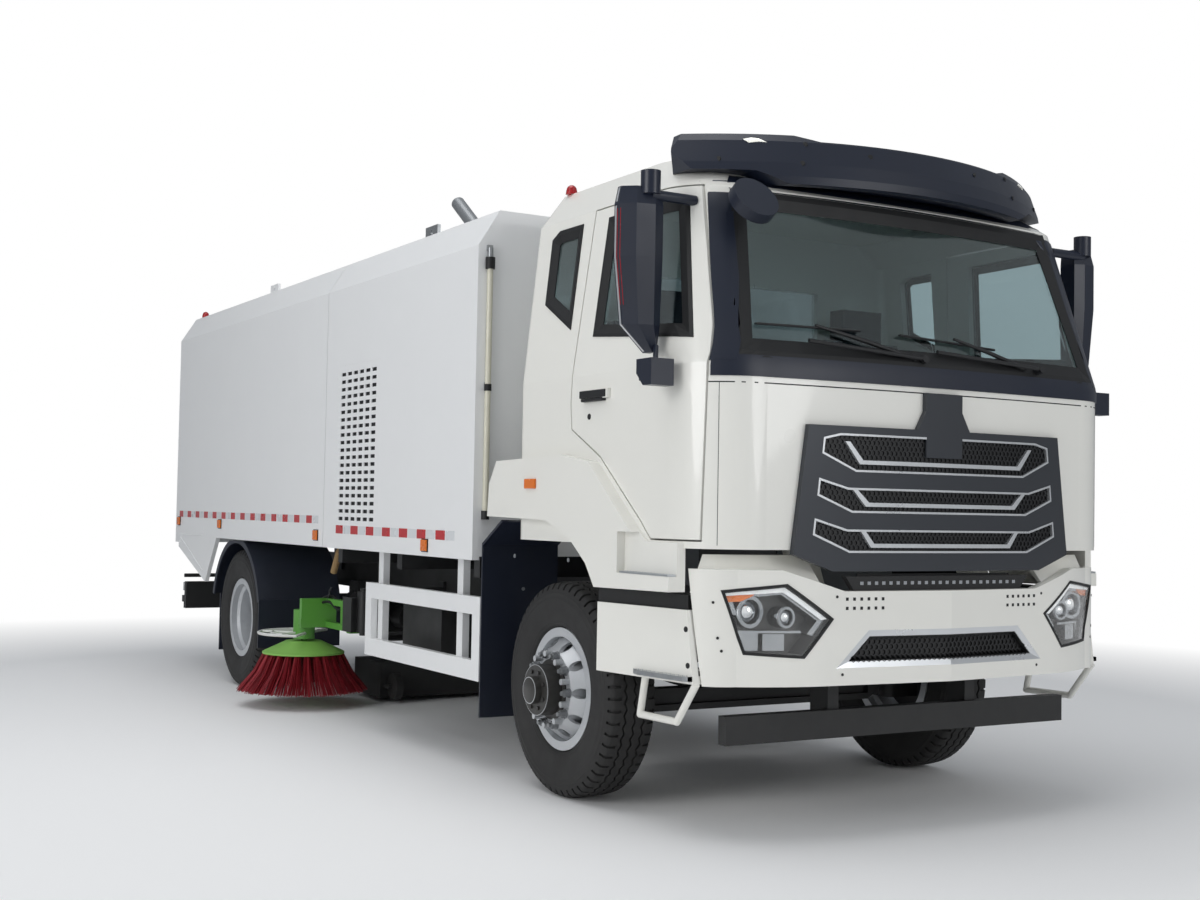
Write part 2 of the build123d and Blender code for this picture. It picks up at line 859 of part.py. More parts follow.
def leaf_pack(x, y, axle_top):
    """One cambered pack, its hangers and its clamp on the axle."""
    eye_z = axle_top + spring_thickness + spring_camber
    ends = [x - spring_half_length, x + spring_half_length]
    outline = [
        (ends[0], eye_z), (x, axle_top), (ends[1], eye_z),
        (ends[1], eye_z + spring_thickness / 2), (x, axle_top + spring_thickness),
        (ends[0], eye_z + spring_thickness / 2),
    ]
    under = ThreePointArc(outline[0], outline[1], outline[2])
    over = ThreePointArc(outline[3], outline[4], outline[5])
    edges = [under, Line(outline[2], outline[3]), over, Line(outline[5], outline[0])]
    face = make_face(edges)
    pack = extrude(Plane.XZ.offset(-y - spring_width / 2) * face, amount=spring_width)
    shackle_half = spring_width / 4
    for end in ends:
        shackle = block(end - shackle_half, end + shackle_half, y - shackle_half, y + shackle_half, eye_z,
                        rail_low)
        pack = pack + shackle
    return pack


front_spring_y = rail_y - rail_flange / 2
front_spring_seat = beam_z + beam_half_height + seat_gap
rear_spring_seat = tyre_radius + axle_tube_radius + seat_gap
front_pack = leaf_pack(0, front_spring_y, front_spring_seat)
rear_pack = leaf_pack(-wheelbase, rear_spring_y, rear_spring_seat)
rear_outreach = block(-wheelbase - spring_half_length - spring_width,
                      -wheelbase - spring_half_length + spring_width,
                      rail_y + seat_gap, rear_spring_y + spring_width / 2, rail_low - rail_wall, rail_low + hanger_width)
rear_outreach_front = Pos(spring_half_length * 2, 0, 0) * rear_outreach
leaf_springs = pair(front_pack) + pair(rear_pack + rear_outreach + rear_outreach_front)
save("leaf_springs", leaf_springs)

# Engine block, gearbox and propeller shaft.

engine = block(engine_rear_x, engine_front_x, -engine_half_width, engine_half_width, engine_low, engine_high)
save("engine", engine)
gearbox_rear = engine_rear_x - gearbox_length
gearbox = rod((engine_rear_x - seat_gap, 0, gearbox_z), (gearbox_rear, 0, gearbox_z), gearbox_radius)
prop_front = (gearbox_rear - flange_width, 0, gearbox_z)
prop_rear = (-wheelbase + diff_radius + flange_width * 2 + flange_width, 0, tyre_radius)
prop = rod(prop_front, prop_rear, prop_radius)
front_flange = rod((gearbox_rear, 0, gearbox_z), prop_front, flange_radius)
yoke_half = prop_radius + rail_wall
front_yoke = cross_bar(prop_front[0], gearbox_z, prop_radius - rail_wall, -yoke_half, yoke_half)
rear_yoke = cross_bar(prop_rear[0], tyre_radius, prop_radius - rail_wall, -yoke_half, yoke_half)
rear_flange = rod(prop_rear, (prop_rear[0] - flange_width + seat_gap, 0, tyre_radius), flange_radius)
save("driveline", gearbox + front_flange + prop + front_yoke + rear_yoke + rear_flange)


# Cab shell: lofted through four sections, hollowed, then cut for doors, windows and tunnel.

def cab_section(height, half_width, nose_x, radius, bow, inset):
    """One level section of the cab, drawn in by inset on every side."""
    half = half_width - inset
    rear = cab_rear_x + inset
    nose = nose_x - inset
    front_radius = radius - inset
    rear_radius = cab_rear_radius - inset / 2
    corner_x = nose - bow - front_radius
    root = sqrt(0.5)
    left = [
        Line((rear, 0), (rear, half - rear_radius)),
        ThreePointArc((rear, half - rear_radius),
                      (rear + rear_radius * (1 - root), half - rear_radius * (1 - root)),
                      (rear + rear_radius, half)),
        Line((rear + rear_radius, half), (corner_x, half)),
        ThreePointArc((corner_x, half),
                      (corner_x + front_radius * root, half - front_radius * (1 - root)),
                      (corner_x + front_radius, half - front_radius)),
        ThreePointArc((corner_x + front_radius, half - front_radius),
                      (nose - bow / 4, (half - front_radius) / 2), (nose, 0)),
    ]
    half_wire = Wire(left)
    whole = Wire(list(half_wire.edges()) + list(half_wire.mirror(Plane.XZ).edges()))
    return Pos(0, 0, height) * Face(whole)


def cab_loft(inset, low, high):
    """The cab's body drawn in by inset, between two heights."""
    rows = []
    for index, (height, half, nose, radius, bow) in enumerate(cab_sections):
        level = height
        if index == 0:
            level = low
        if index == len(cab_sections) - 1:
            level = high
        rows.append(cab_section(level, half, nose, radius, bow, inset))
    return loft(rows, ruled=True)


cab_outer = cab_loft(0, cab_floor_z, cab_roof_z)
cab_inner = cab_loft(cab_wall, cab_floor_z + tunnel_wall, cab_roof_z - cab_wall)
glass_outer = cab_loft(glass_inset, cab_floor_z, cab_roof_z)
glass_inner = cab_loft(glass_inset + glass_thickness, cab_floor_z, cab_roof_z)
glass_skin = glass_outer - glass_inner
cab_shell = cab_outer - cab_inner
tunnel_front = tunnel_front_x + tunnel_wall
tunnel_solid = block(cab_rear_x + cab_wall / 2, tunnel_front, -tunnel_half_width - tunnel_wall,
                     tunnel_half_width + tunnel_wall,
                     cab_floor_z, tunnel_top + tunnel_wall)
tunnel_void = block(cab_rear_x - cut_over, tunnel_front_x, -tunnel_half_width, tunnel_half_width,
                    cab_floor_z - cut_over, tunnel_top)
cab_shell = cab_shell + tunnel_solid - tunnel_void


def grown(points, amount):
    """An outline grown by amount along the normals of its sides."""
    face = make_face(Polyline(*points, close=True))
    return offset(face, amount=amount, kind=Kind.INTERSECTION)


def side_prism(points, amount, y0, y1):
    """A side view outline, grown by amount and extruded from y0 to y1."""
    if amount == 0:
        return side_plate(points, y0, y1)
    return extrude(Plane.XZ.offset(-y1) * grown(points, amount), amount=y1 - y0)


def front_prism(points, amount, x0, x1):
    """A front view outline, grown by amount and extruded from x0 to x1."""
    if amount == 0:
        return front_plate(points, x0, x1)
    return extrude(Plane.YZ.offset(x0) * grown(points, amount), amount=x1 - x0)


cab_half = max(row[1] for row in cab_sections)
door_side = cab_half + cut_over
door_inner = door_side - door_depth
door_cut = side_prism(door_outline, door_gap, door_inner, door_side)
door_body = (cab_outer - cab_inner) & side_prism(door_outline, 0, door_inner, door_side)
door_body = door_body - cab_loft(cab_wall, cab_floor_z, cab_roof_z)
window_cut = side_prism(door_window, 0, door_inner, door_side)
door = door_body - window_cut
handle_root = cab_half - panel_gap
handle = block(handle_x, handle_x + handle_length, handle_root, handle_root + handle_depth,
               handle_z - handle_height / 2, handle_z + handle_height / 2)
door = door + handle
door_glass = glass_skin & side_prism(door_window, -seat_gap, door_inner, door_side)
save("door_left", door)
save("door_right", mirrored(door))
save("door_glass_left", door_glass)
save("door_glass_right", mirrored(door_glass))

windscreen_points = symmetric([(windscreen_low_half, windscreen_low),
                               (windscreen_high_half, windscreen_high)])
windscreen_cut = front_prism(windscreen_points, 0, tunnel_front_x, nose_reach)
quarter_cut = side_prism(quarter_window, 0, door_inner, door_side)
rear_points = symmetric([(rear_window_half, rear_window_low), (rear_window_half, rear_window_high)])
rear_cut = front_prism(rear_points, 0, cab_rear_x - cut_over, cab_rear_x + cab_wall * 2)
shell_cut = door_cut - cab_loft(cab_wall + door_gap, cab_floor_z, cab_roof_z)
cab_shell = cab_shell - pair(shell_cut) - windscreen_cut - pair(quarter_cut) - rear_cut
lug_y0 = rail_y + rail_wall * 2
lug_y1 = rail_y + cab_pin_reach - rail_wall
lug = side_plate([
    (cab_pivot_x - pivot_eye, cab_pivot_z), (cab_pivot_x + pivot_eye, cab_pivot_z),
    (lug_top_front_x, cab_floor_z + rail_wall), (lug_top_rear_x, cab_floor_z + rail_wall),
], lug_y0, lug_y1)
lug = lug + cross_bar(cab_pivot_x, cab_pivot_z, pivot_eye, lug_y0, lug_y1)
lug = lug - cross_bar(cab_pivot_x, cab_pivot_z, cab_pin_radius + run_gap, lug_y0 - cut_over,
                      lug_y1 + cut_over)
cab_shell = cab_shell + pair(lug)
save("cab_shell", cab_shell)

windscreen = glass_skin & front_prism(windscreen_points, -seat_gap, tunnel_front_x, nose_reach)
quarter_glass = glass_skin & side_prism(quarter_window, -seat_gap, door_inner, door_side)
rear_glass = glass_skin & front_prism(rear_points, -seat_gap, cab_rear_x - cut_over,
                                      cab_rear_x + cab_wall * 2)
save("cab_glass", windscreen + pair(quarter_glass) + rear_glass)

# Grille: a proud shield on the nose with three U-shaped slots and an upright in the middle.

shield = symmetric([
    (0, emblem_top), (emblem_half_high, emblem_top), (emblem_half_low, grille_outline[0][1]),
] + grille_outline)


def nose_skin(outer_inset, inner_inset):
    """A skin that follows the cab's nose, between two insets."""
    low = grille_outline[-1][1] - cut_over
    high = cab_belt_z
    rows = []
    for inset in (outer_inset, inner_inset):
        section = [cab_section(level, cab_sections[1][1], cab_sections[1][2], cab_sections[1][3],
                               cab_sections[1][4], inset)
                   for level in (low, high)]
        rows.append(loft(section, ruled=True))
    return rows[0] - rows[1]


nose_front = nose_reach + grille_proud + cut_over
grille = nose_skin(-grille_proud, -seat_gap) & front_plate(shield, tunnel_front_x, nose_front)
slot_floor = slot_depth - grille_proud
slot_skin = nose_skin(-grille_proud - cut_over, slot_floor)
mesh_skin = nose_skin(slot_floor - seat_gap - mesh_thickness, slot_floor - seat_gap)
trim_skin = nose_skin(-grille_proud - trim_lift, slot_floor - seat_gap * 2 - mesh_thickness)
plaque_points = symmetric([(0, plaque_low), (plaque_half, plaque_low), (plaque_half, emblem_top)])
grille_mesh = None
grille_trim = None
for row, bar in zip(slot_rows, bar_rows):
    outer_y, outer_top, outer_low, floor_y, slot_floor_z, inner_y, inner_top = row
    outline = symmetric([
        (inner_y, inner_top), (outer_y, outer_top), (outer_y + panel_gap, outer_low), (floor_y, slot_floor_z),
    ])
    grille = grille - (slot_skin & front_plate(outline, tunnel_front_x, nose_front))
    mesh = mesh_skin & front_prism(outline, -seat_gap, tunnel_front_x, nose_front)
    ring = front_prism(outline, -seat_gap, tunnel_front_x, nose_front)
    ring = ring - front_prism(outline, -trim_width, tunnel_front_x, nose_front)
    top_y, top_z, low_y, low_z = bar
    boat = symmetric([(0, low_z), (low_y, low_z), (top_y, top_z), (top_y - bar_width * bar_slant_share, top_z),
                      (low_y - bar_width, low_z + bar_width), (0, low_z + bar_width)])
    trim = trim_skin & (ring + front_plate(boat, tunnel_front_x, nose_front))
    grille_mesh = mesh if grille_mesh is None else grille_mesh + mesh
    grille_trim = trim if grille_trim is None else grille_trim + trim
plaque = nose_skin(-grille_proud, -seat_gap) & front_plate(plaque_points, tunnel_front_x, nose_front)
plaque_room = front_prism(plaque_points, seat_gap, tunnel_front_x, nose_front)
save("grille", grille + plaque)
save("grille_mesh", grille_mesh - plaque_room)
save("grille_trim", grille_trim - plaque_room)

# Sun visor: its section swept round an upright axis behind the nose, cut by its front outline.

visor_nose = max(x for x, z in visor_section)
visor_axis = Axis((visor_nose - visor_radius, 0, 0), (0, 0, 1))
section_face = Plane.XZ * make_face(Polyline(*visor_section, close=True))
visor = section_face.rotate(visor_axis, -visor_half_angle)
visor = revolve(visor, visor_axis, visor_half_angle * 2)
visor = visor & front_plate(symmetric(visor_front), 0, nose_reach)
visor = visor - cab_loft(-seat_gap, cab_floor_z, cab_roof_z)
save("visor", visor)

# Mirrors: tall heads on the doors, each on one arm with a small kerb mirror below, and a
# look-down mirror over the windscreen's corner.

head_rows = []
for height, inner_y, outer_y, depth in mirror_heights:
    corners = [(mirror_x + depth * across, inner_y + (outer_y - inner_y) * out) for across,
               out in mirror_plan_shares]
    head_rows.append(Pos(0, 0, height) * make_face(Polyline(*corners, close=True)))
head = loft(head_rows, ruled=True)
arm_x = mirror_x + mirror_heights[2][3] * mirror_arm_share
knob = rod((arm_x, mirror_knob_y, mirror_arm_z), (arm_x, mirror_knob_y, mirror_knob_top), mirror_knob_radius)
door_inside = cab_sections[2][1] - cab_wall
top_arm = rod((arm_x, door_inside, mirror_arm_z), (arm_x, mirror_knob_y, mirror_arm_z), mirror_arm_radius)
neck_top = (arm_x, (mirror_heights[0][1] + mirror_heights[0][2]) / 2,
            mirror_heights[0][0] + mirror_arm_radius)
neck_low = ((low_mirror_x[0] + low_mirror_x[1]) / 2, (low_mirror_y[0] + low_mirror_y[1]) / 2,
            low_mirror_z[1] - mirror_arm_radius)
neck = rod(neck_top, neck_low, mirror_arm_radius / 2)
low_slope = (low_mirror_x[1] - low_mirror_x[0]) * low_mirror_slope_share
low_head = side_plate([
    (low_mirror_x[0], low_mirror_z[1]), (low_mirror_x[1], low_mirror_z[1]), (low_mirror_x[1],
                                                                             low_mirror_z[0]),
    (low_mirror_x[0] + low_slope, low_mirror_z[0]), (low_mirror_x[0], low_mirror_z[0] + low_slope),
], low_mirror_y[0], low_mirror_y[1])
side_mirror = head + knob + top_arm + neck + low_head
side_mirror = side_mirror - cab_loft(-seat_gap, cab_floor_z, cab_roof_z)
save("mirror_left", side_mirror)
save("mirror_right", mirrored(side_mirror))
dish = Cylinder(front_mirror_radius, front_mirror_depth)
dish = Pos(front_mirror_x, front_mirror_y, front_mirror_z) * Rot(0, 90 - front_mirror_lean, 0) * dish
round_arm = rod(front_mirror_foot, (front_mirror_x, front_mirror_y, front_mirror_z), mirror_arm_radius / 2)
round_mirror = (dish + round_arm) - cab_loft(-seat_gap, cab_floor_z, cab_roof_z)
save("mirrors", round_mirror)

# Wipers: two arms with blades that stand off the glass.

glass_front_x = cab_sections[1][2]
lean = (cab_sections[1][2] - cab_sections[2][2]) / (cab_eave_z - cab_belt_z)
wipers = None
for pivot_y, pivot_z in wiper_pivots:
    foot_x = glass_front_x + wiper_stand_off - lean * (pivot_z - cab_belt_z)
    tip_z = pivot_z + wiper_length * wiper_rise_share
    tip_x = foot_x - lean * (tip_z - pivot_z) - wiper_stand_off / 2
    arm = rod((foot_x, pivot_y, pivot_z), (tip_x, pivot_y - wiper_length, tip_z), wiper_radius)
    boss = rod((foot_x - wiper_stand_off * 2, pivot_y, pivot_z - wiper_radius),
               (foot_x + wiper_radius, pivot_y, pivot_z), wiper_radius * 2)
    wiper = (arm + boss) - cab_loft(-seat_gap, cab_floor_z, cab_roof_z)
    wipers = wiper if wipers is None else wipers + wiper
save("wipers", wipers)

# Seats, dashboard and steering wheel.

floor_top = cab_floor_z + tunnel_wall
cushion = block(seat_x, seat_x + seat_depth, seat_y - seat_width / 2, seat_y + seat_width / 2, seat_z,
                seat_z + seat_height)
back = block(seat_x - seat_back_depth, seat_x, seat_y - seat_width / 2, seat_y + seat_width / 2, seat_z,
             seat_z + seat_back_height)
headrest = block(seat_x - seat_back_depth, seat_x, seat_y - headrest_width / 2, seat_y + headrest_width / 2,
                 seat_z + seat_back_height, seat_z + seat_back_height + headrest_height)
base = block(seat_x, seat_x + seat_depth - seat_back_depth, seat_y - seat_base_width / 4,
             seat_y + seat_base_width / 2,
             floor_top + seat_gap, seat_z)
save("seats", pair(cushion + back + headrest + base))
dash_half = cab_sections[1][1] - cab_wall * 2 - dash_end_gap
dash_rear_x = dash_front_x - dash_depth
dashboard = side_plate([
    (dash_rear_x, dash_low + panel_gap), (dash_rear_x, dash_high - dash_depth / 3),
    (dash_rear_x + dash_depth / 3, dash_high),
    (dash_front_x, dash_high), (dash_front_x, dash_low), (dash_rear_x + dash_depth / 3, dash_low),
], -dash_half, dash_half)
dashboard = dashboard & cab_loft(cab_wall + seat_gap, cab_floor_z, cab_roof_z)
save("dashboard", dashboard)
ring = Torus(wheel_rim_radius, wheel_rim_tube)
spoke = block(-wheel_rim_radius, wheel_rim_radius, -wheel_rim_tube, wheel_rim_tube, -wheel_rim_tube / 2,
              wheel_rim_tube / 2)
spoke_down = block(-wheel_rim_tube, wheel_rim_tube, -wheel_rim_radius, 0, -wheel_rim_tube / 2,
                   wheel_rim_tube / 2)
boss = Cylinder(column_radius * 2, wheel_rim_tube * 3)
column = Pos(0, 0, -column_length / 2) * Cylinder(column_radius, column_length)
wheel = ring + Rot(0, 0, 90) * spoke + Rot(0, 0, 90) * spoke_down + boss + column
wheel = Pos(wheel_x, seat_y, wheel_z) * Rot(0, -wheel_tilt / 2, 0) * wheel
save("steering_wheel", wheel - dashboard)

# Upper fenders with the upper step, on the cab.

fender = side_plate(fender_outline, fender_y - fender_depth, fender_y)
recess = block(upper_step_rear_x, upper_step_front_x + cut_over, fender_y - fender_depth / 2,
               fender_y + cut_over,
               upper_step_z, cab_floor_z + cut_over)
fender = fender - recess
fender = fender - cab_loft(-seat_gap, cab_floor_z, cab_roof_z)
fender = fender - door_cut
save("cab_fenders", pair(fender))

# Bumper: bowed in plan, open behind, with lamp and intake openings.


def bumper_face(inset):
    """The bumper's plan outline, drawn in by inset."""
    rear = (bumper_rear_x, bumper_side_y - inset)
    corner = [(x - inset, y - inset) for x, y in bumper_corner]
    cheek = [(x - inset, y - inset / 2) for x, y in bumper_cheek]
    nose = (bumper_nose_x - inset, 0)
    left = [
        ThreePointArc(rear, corner[0], corner[1]),
        ThreePointArc(corner[1], cheek[0], cheek[1]),
        Line(cheek[1], nose),
        Line((bumper_rear_x, 0), rear),
    ]
    half_face = make_face(left + [Line(nose, (bumper_rear_x, 0))])
    return half_face + half_face.mirror(Plane.XZ)


def bumper_solid(inset, low, high):
    """A solid of the bumper's plan outline between two heights."""
    return extrude(Plane.XY.offset(low) * bumper_face(inset), amount=high - low)


bumper_full = bumper_solid(0, bumper_low, bumper_high)
bumper = bumper_full - bumper_solid(bumper_wall, bumper_low - cut_over, bumper_high + cut_over)
rear_cut_side = side_plate([
    (bumper_rear_x - cut_over, bumper_low), (bumper_rear_low_x, bumper_low), (bumper_rear_high_x,
                                                                              bumper_high),
    (bumper_rear_x - cut_over, bumper_high),
], -bumper_side_y - cut_over, bumper_side_y + cut_over)
bumper = bumper - rear_cut_side
dip = symmetric([
    (0, bumper_dip_z), (bumper_dip_low_half, bumper_dip_z), (bumper_dip_high_half, bumper_high),
    (bumper_dip_high_half, bumper_high + cut_over), (0, bumper_high + cut_over),
])
bumper = bumper - front_plate(dip, 0, nose_reach + cut_over)
lamp_cut = front_prism(lamp_outline, 0, bumper_rear_x, nose_reach + cut_over)
intake_points = symmetric(intake_outline)
intake_cut = front_prism(intake_points, 0, bumper_rear_x + cut_over, nose_reach + cut_over)
bumper = bumper - pair(lamp_cut) - intake_cut
stay = block(frame_front_x + seat_gap, bumper_nose_x - bumper_wall, rail_y - hanger_width, rail_y,
             bumper_low + panel_gap,
             bumper_low + hanger_width)
flange = bumper_solid(0, bumper_dip_z - top_flange_thickness, bumper_dip_z)
flange = flange & block(bumper_nose_x - top_flange_depth, nose_reach, -bumper_dip_low_half,
                        bumper_dip_low_half,
                        bumper_low, bumper_high)


def shelf_solid(drop):
    """The white ledge over the bumper, a loft from its face up to the cab's edge, lowered by drop."""
    low_face = Plane.XY.offset(shelf_low - drop) * make_face(Polyline(*shelf_front, (shelf_front[0][0],
                                                                                     0), close=True))
    high_face = Plane.XY.offset(shelf_high - drop) * make_face(Polyline(*shelf_rear, (shelf_rear[0][0],
                                                                                      0), close=True))
    return loft([low_face, high_face], ruled=True)


shelf = shelf_solid(0) - shelf_solid(shelf_wall)
shelf = shelf & block(bumper_rear_high_x, nose_reach, shelf_inner_half, bumper_side_y, shelf_low, shelf_high)
shelf = shelf - lamp_cut
bumper = bumper + pair(stay) + flange + pair(shelf)
save("bumper", bumper)


def lamp_room(front, back, amount, rear_x):
    """The space inside the lamp's outline, between two depths behind the bumper's face."""
    skin = Pos(-front, 0, 0) * bumper_full & front_prism(lamp_outline, amount, rear_x, nose_reach + cut_over)
    return skin - Pos(-back, 0, 0) * bumper_full


lamp_rear_x = bumper_rear_low_x + panel_gap / 2
lamp_inner = lamp_room(0, lamp_depth - lamp_wall, -lamp_wall, lamp_rear_x + lamp_wall)
headlamp = lamp_room(lamp_inset, lamp_depth, -seat_gap, lamp_rear_x) - lamp_inner
save("headlamps", pair(headlamp))
unit_gap = lamp_wall + seat_gap
unit_room = lamp_room(lamp_unit_inset, lamp_depth - unit_gap, -unit_gap, lamp_rear_x + unit_gap)
band = front_prism(lamp_outline, -unit_gap, 0, nose_reach)
band = band - front_prism(lamp_outline, -lamp_band_edge - lamp_band_width, 0, nose_reach)
band = band - front_plate(lamp_band_cut, 0, nose_reach)
units = band + block(0, nose_reach, lamp_bar_y[0], lamp_bar_y[1], lamp_bar_z[0], lamp_bar_z[1])
for y_from, y_to, z_from, z_to in reflectors:
    units = units + block(0, nose_reach, y_from, y_to, z_from, z_to)
for front_x, y, z, outer_radius, inner_radius in projectors:
    units = units + rod((0, y, z), (nose_reach, y, z), outer_radius)
units = units & unit_room
for front_x, y, z, outer_radius, inner_radius in projectors:
    units = units - rod((front_x, y, z), (nose_reach, y, z), outer_radius)
    units = units - rod((front_x - inner_radius, y, z), (nose_reach, y, z), inner_radius)
save("lamp_units", pair(units))
intake_skin = bumper_solid(intake_inset, bumper_low,
                           bumper_high) - bumper_solid(intake_inset + intake_thickness, bumper_low,
                                                       bumper_high)
intake_hole = front_prism(intake_points, -intake_band, bumper_rear_x, nose_reach)
intake_frame = intake_skin & (front_prism(intake_points, -seat_gap, bumper_rear_x, nose_reach) - intake_hole)
mesh_back = intake_mesh_inset + intake_mesh_thickness
intake_mesh = bumper_solid(intake_mesh_inset, bumper_low, bumper_high) - bumper_solid(mesh_back,
                                                                                      bumper_low, bumper_high)
intake_mesh = intake_mesh & front_prism(intake_points, -intake_band / 2, bumper_rear_x, nose_reach)
strip = front_plate(symmetric([
    (0, strip_z[0]), (strip_half_low, strip_z[0]), (strip_half_high, strip_z[1]), (0, strip_z[1]),
]), strip_x[0], strip_x[1])
save("bumper_grille", intake_frame + intake_mesh + strip)

# Lower step panels, treads and tube hoops.

plan_points = [
    (step_rear_x, step_outer_y), (step_front_low_x, step_front_y), (step_front_low_x,
                                                                    step_front_y - step_tread_depth),
    (step_rear_x, step_outer_y - step_tread_depth),
]
panel_face = make_face(Polyline(*plan_points, close=True))
panel_solid = extrude(Plane.XY.offset(step_low) * panel_face, amount=step_top - step_low)
panel_hollow_face = make_face(Polyline(
    (step_rear_x - cut_over, step_outer_y - step_wall), (step_front_low_x + cut_over,
                                                         step_front_y - step_wall - panel_gap),
    (step_front_low_x + cut_over, step_front_y - step_tread_depth - cut_over),
    (step_rear_x - cut_over, step_outer_y - step_tread_depth - cut_over), close=True))
panel_hollow = extrude(Plane.XY.offset(step_tread_z) * panel_hollow_face, amount=step_top)
front_trim = side_plate([
    (step_front_low_x, step_low), (step_front_x, step_top), (step_front_x, step_top + cut_over),
    (step_front_low_x + cut_over, step_top + cut_over), (step_front_low_x + cut_over, step_low),
], step_outer_y - step_tread_depth * 2, step_outer_y + cut_over)
step_panel = panel_solid - panel_hollow - front_trim
hoop_points = [(x, hoop_y, z) for x, z in hoop_outline]
for start, end in zip(hoop_points, hoop_points[1:]):
    step_panel = step_panel + rod(start, end, hoop_radius)
for x, y, z in hoop_points[1:-1]:
    step_panel = step_panel + Pos(x, y, z) * Sphere(hoop_radius)
step_bracket = block(frame_front_x - hanger_width * 4, frame_front_x - hanger_width * 3, rail_y + seat_gap,
                     step_front_y - step_tread_depth / 2, step_low + rail_wall, step_tread_z)
bracket_foot = block(frame_front_x - hanger_width * 4, frame_front_x - hanger_width * 3, rail_y + seat_gap,
                     rail_y + hanger_width, step_low + rail_wall, rail_mid)
step_panel = step_panel + step_bracket + bracket_foot
save("step_panels", pair(step_panel))

# Mudguards: front rear-leg with flap, and rear arches over the twin tyres.

flap_high = front_guard_outline[0][1]
front_leg = side_plate([
    (front_flap_x, front_flap_low), (front_flap_x, flap_high), front_guard_outline[1],
    (front_guard_outline[1][0] + flap_thickness, front_guard_outline[1][1] - flap_thickness),
    (front_flap_x + flap_thickness, flap_high - flap_thickness), (front_flap_x + flap_thickness,
                                                                  front_flap_low),
], front_flap_inner_y, front_flap_outer_y)
front_stay = block(front_flap_x - flap_thickness * 3, front_flap_x, rail_y + seat_gap,
                   front_flap_outer_y - cut_over,
                   rail_top - hanger_width, rail_top - rail_wall)
arch_outer = rod((-wheelbase, rear_guard_inner_y, tyre_radius),
                 (-wheelbase, rear_guard_outer_y, tyre_radius), rear_guard_radius)
arch_inner = rod((-wheelbase, rear_guard_inner_y - cut_over, tyre_radius),
                 (-wheelbase, rear_guard_outer_y - rear_guard_thickness, tyre_radius),
                 rear_guard_radius - rear_guard_thickness)
lip_hole = rod((-wheelbase, rear_guard_inner_y - cut_over, tyre_radius),
               (-wheelbase, rear_guard_outer_y + cut_over, tyre_radius),
               rear_guard_radius - rear_guard_lip)
arch = arch_outer - arch_inner - lip_hole
far = rear_guard_radius * 2
low_cut = side_plate([
    (-wheelbase, tyre_radius),
    (-wheelbase + far * cos(radians(rear_guard_start_angle)),
     tyre_radius + far * sin(radians(rear_guard_start_angle))),
    (-wheelbase + far, -far), (-wheelbase - far, -far),
    (-wheelbase + far * cos(radians(rear_guard_end_angle)),
     tyre_radius + far * sin(radians(rear_guard_end_angle))),
], rear_guard_inner_y - cut_over, rear_guard_outer_y + cut_over)
top_cut = block(-wheelbase - far, -wheelbase + far, rear_guard_inner_y - cut_over,
                rear_guard_outer_y + cut_over,
                rear_guard_top, rear_guard_top + far)
arch = arch - low_cut - top_cut
rear_flap_x = -wheelbase + (rear_guard_radius - rear_guard_thickness) * cos(radians(rear_guard_end_angle))
rear_flap_top = tyre_radius + rear_guard_radius * sin(radians(rear_guard_end_angle))
rear_flap = block(rear_flap_x - flap_thickness * 2, rear_flap_x - flap_thickness / 2, rear_guard_inner_y,
                  rear_guard_outer_y - cut_over,
                  rear_flap_low, rear_flap_top + flap_thickness)
apron_x = -wheelbase + (rear_guard_radius - rear_guard_thickness) * cos(radians(rear_guard_start_angle))
apron_top = tyre_radius + rear_guard_radius * sin(radians(rear_guard_start_angle))
apron = block(apron_x + flap_thickness / 2, apron_x + flap_thickness * 3 / 2, rear_guard_inner_y,
              rear_guard_outer_y,
              apron_low, apron_top + flap_thickness)
lid_half = sqrt(rear_guard_radius ** 2 - (rear_guard_top - tyre_radius) ** 2)
arch_lid = block(-wheelbase - lid_half, -wheelbase + lid_half, rear_guard_inner_y, rear_guard_outer_y,
                 rear_guard_top - rear_guard_thickness, rear_guard_top)
arch_stay = block(-wheelbase - spring_width, -wheelbase + spring_width, rail_y + seat_gap,
                  rear_guard_inner_y + cut_over,
                  rear_guard_top - rear_guard_thickness, rear_guard_top)
stay_foot = block(-wheelbase - spring_width, -wheelbase + spring_width, rail_y + seat_gap,
                  rail_y + rear_guard_thickness,
                  rail_mid, rear_guard_top)
save("mudguards", pair(front_leg + front_stay) + pair(arch + arch_lid + rear_flap + apron + arch_stay
                                                      + stay_foot))

# Side guards: two rails, ends and posts up to the body.

guard_inner_y = guard_y - guard_depth
side_guard = None
for low, high in (guard_top_rail, guard_low_rail):
    rail = block(guard_rear_x, guard_front_x, guard_inner_y, guard_y, low, high)
    side_guard = rail if side_guard is None else side_guard + rail
for x in (guard_rear_x, guard_front_x - guard_end_width):
    side_guard = side_guard + block(x, x + guard_end_width, guard_inner_y, guard_y, guard_low_rail[0],
                                    guard_top_rail[1])
for x in guard_posts:
    side_guard = side_guard + block(x, x + guard_post_width, guard_inner_y - guard_depth, guard_inner_y,
                                    guard_low_rail[0], body_low + (floor_z - body_low) - seat_gap)
save("side_guards", pair(side_guard))

# Battery box, fuel tank and air tanks beside the rails.

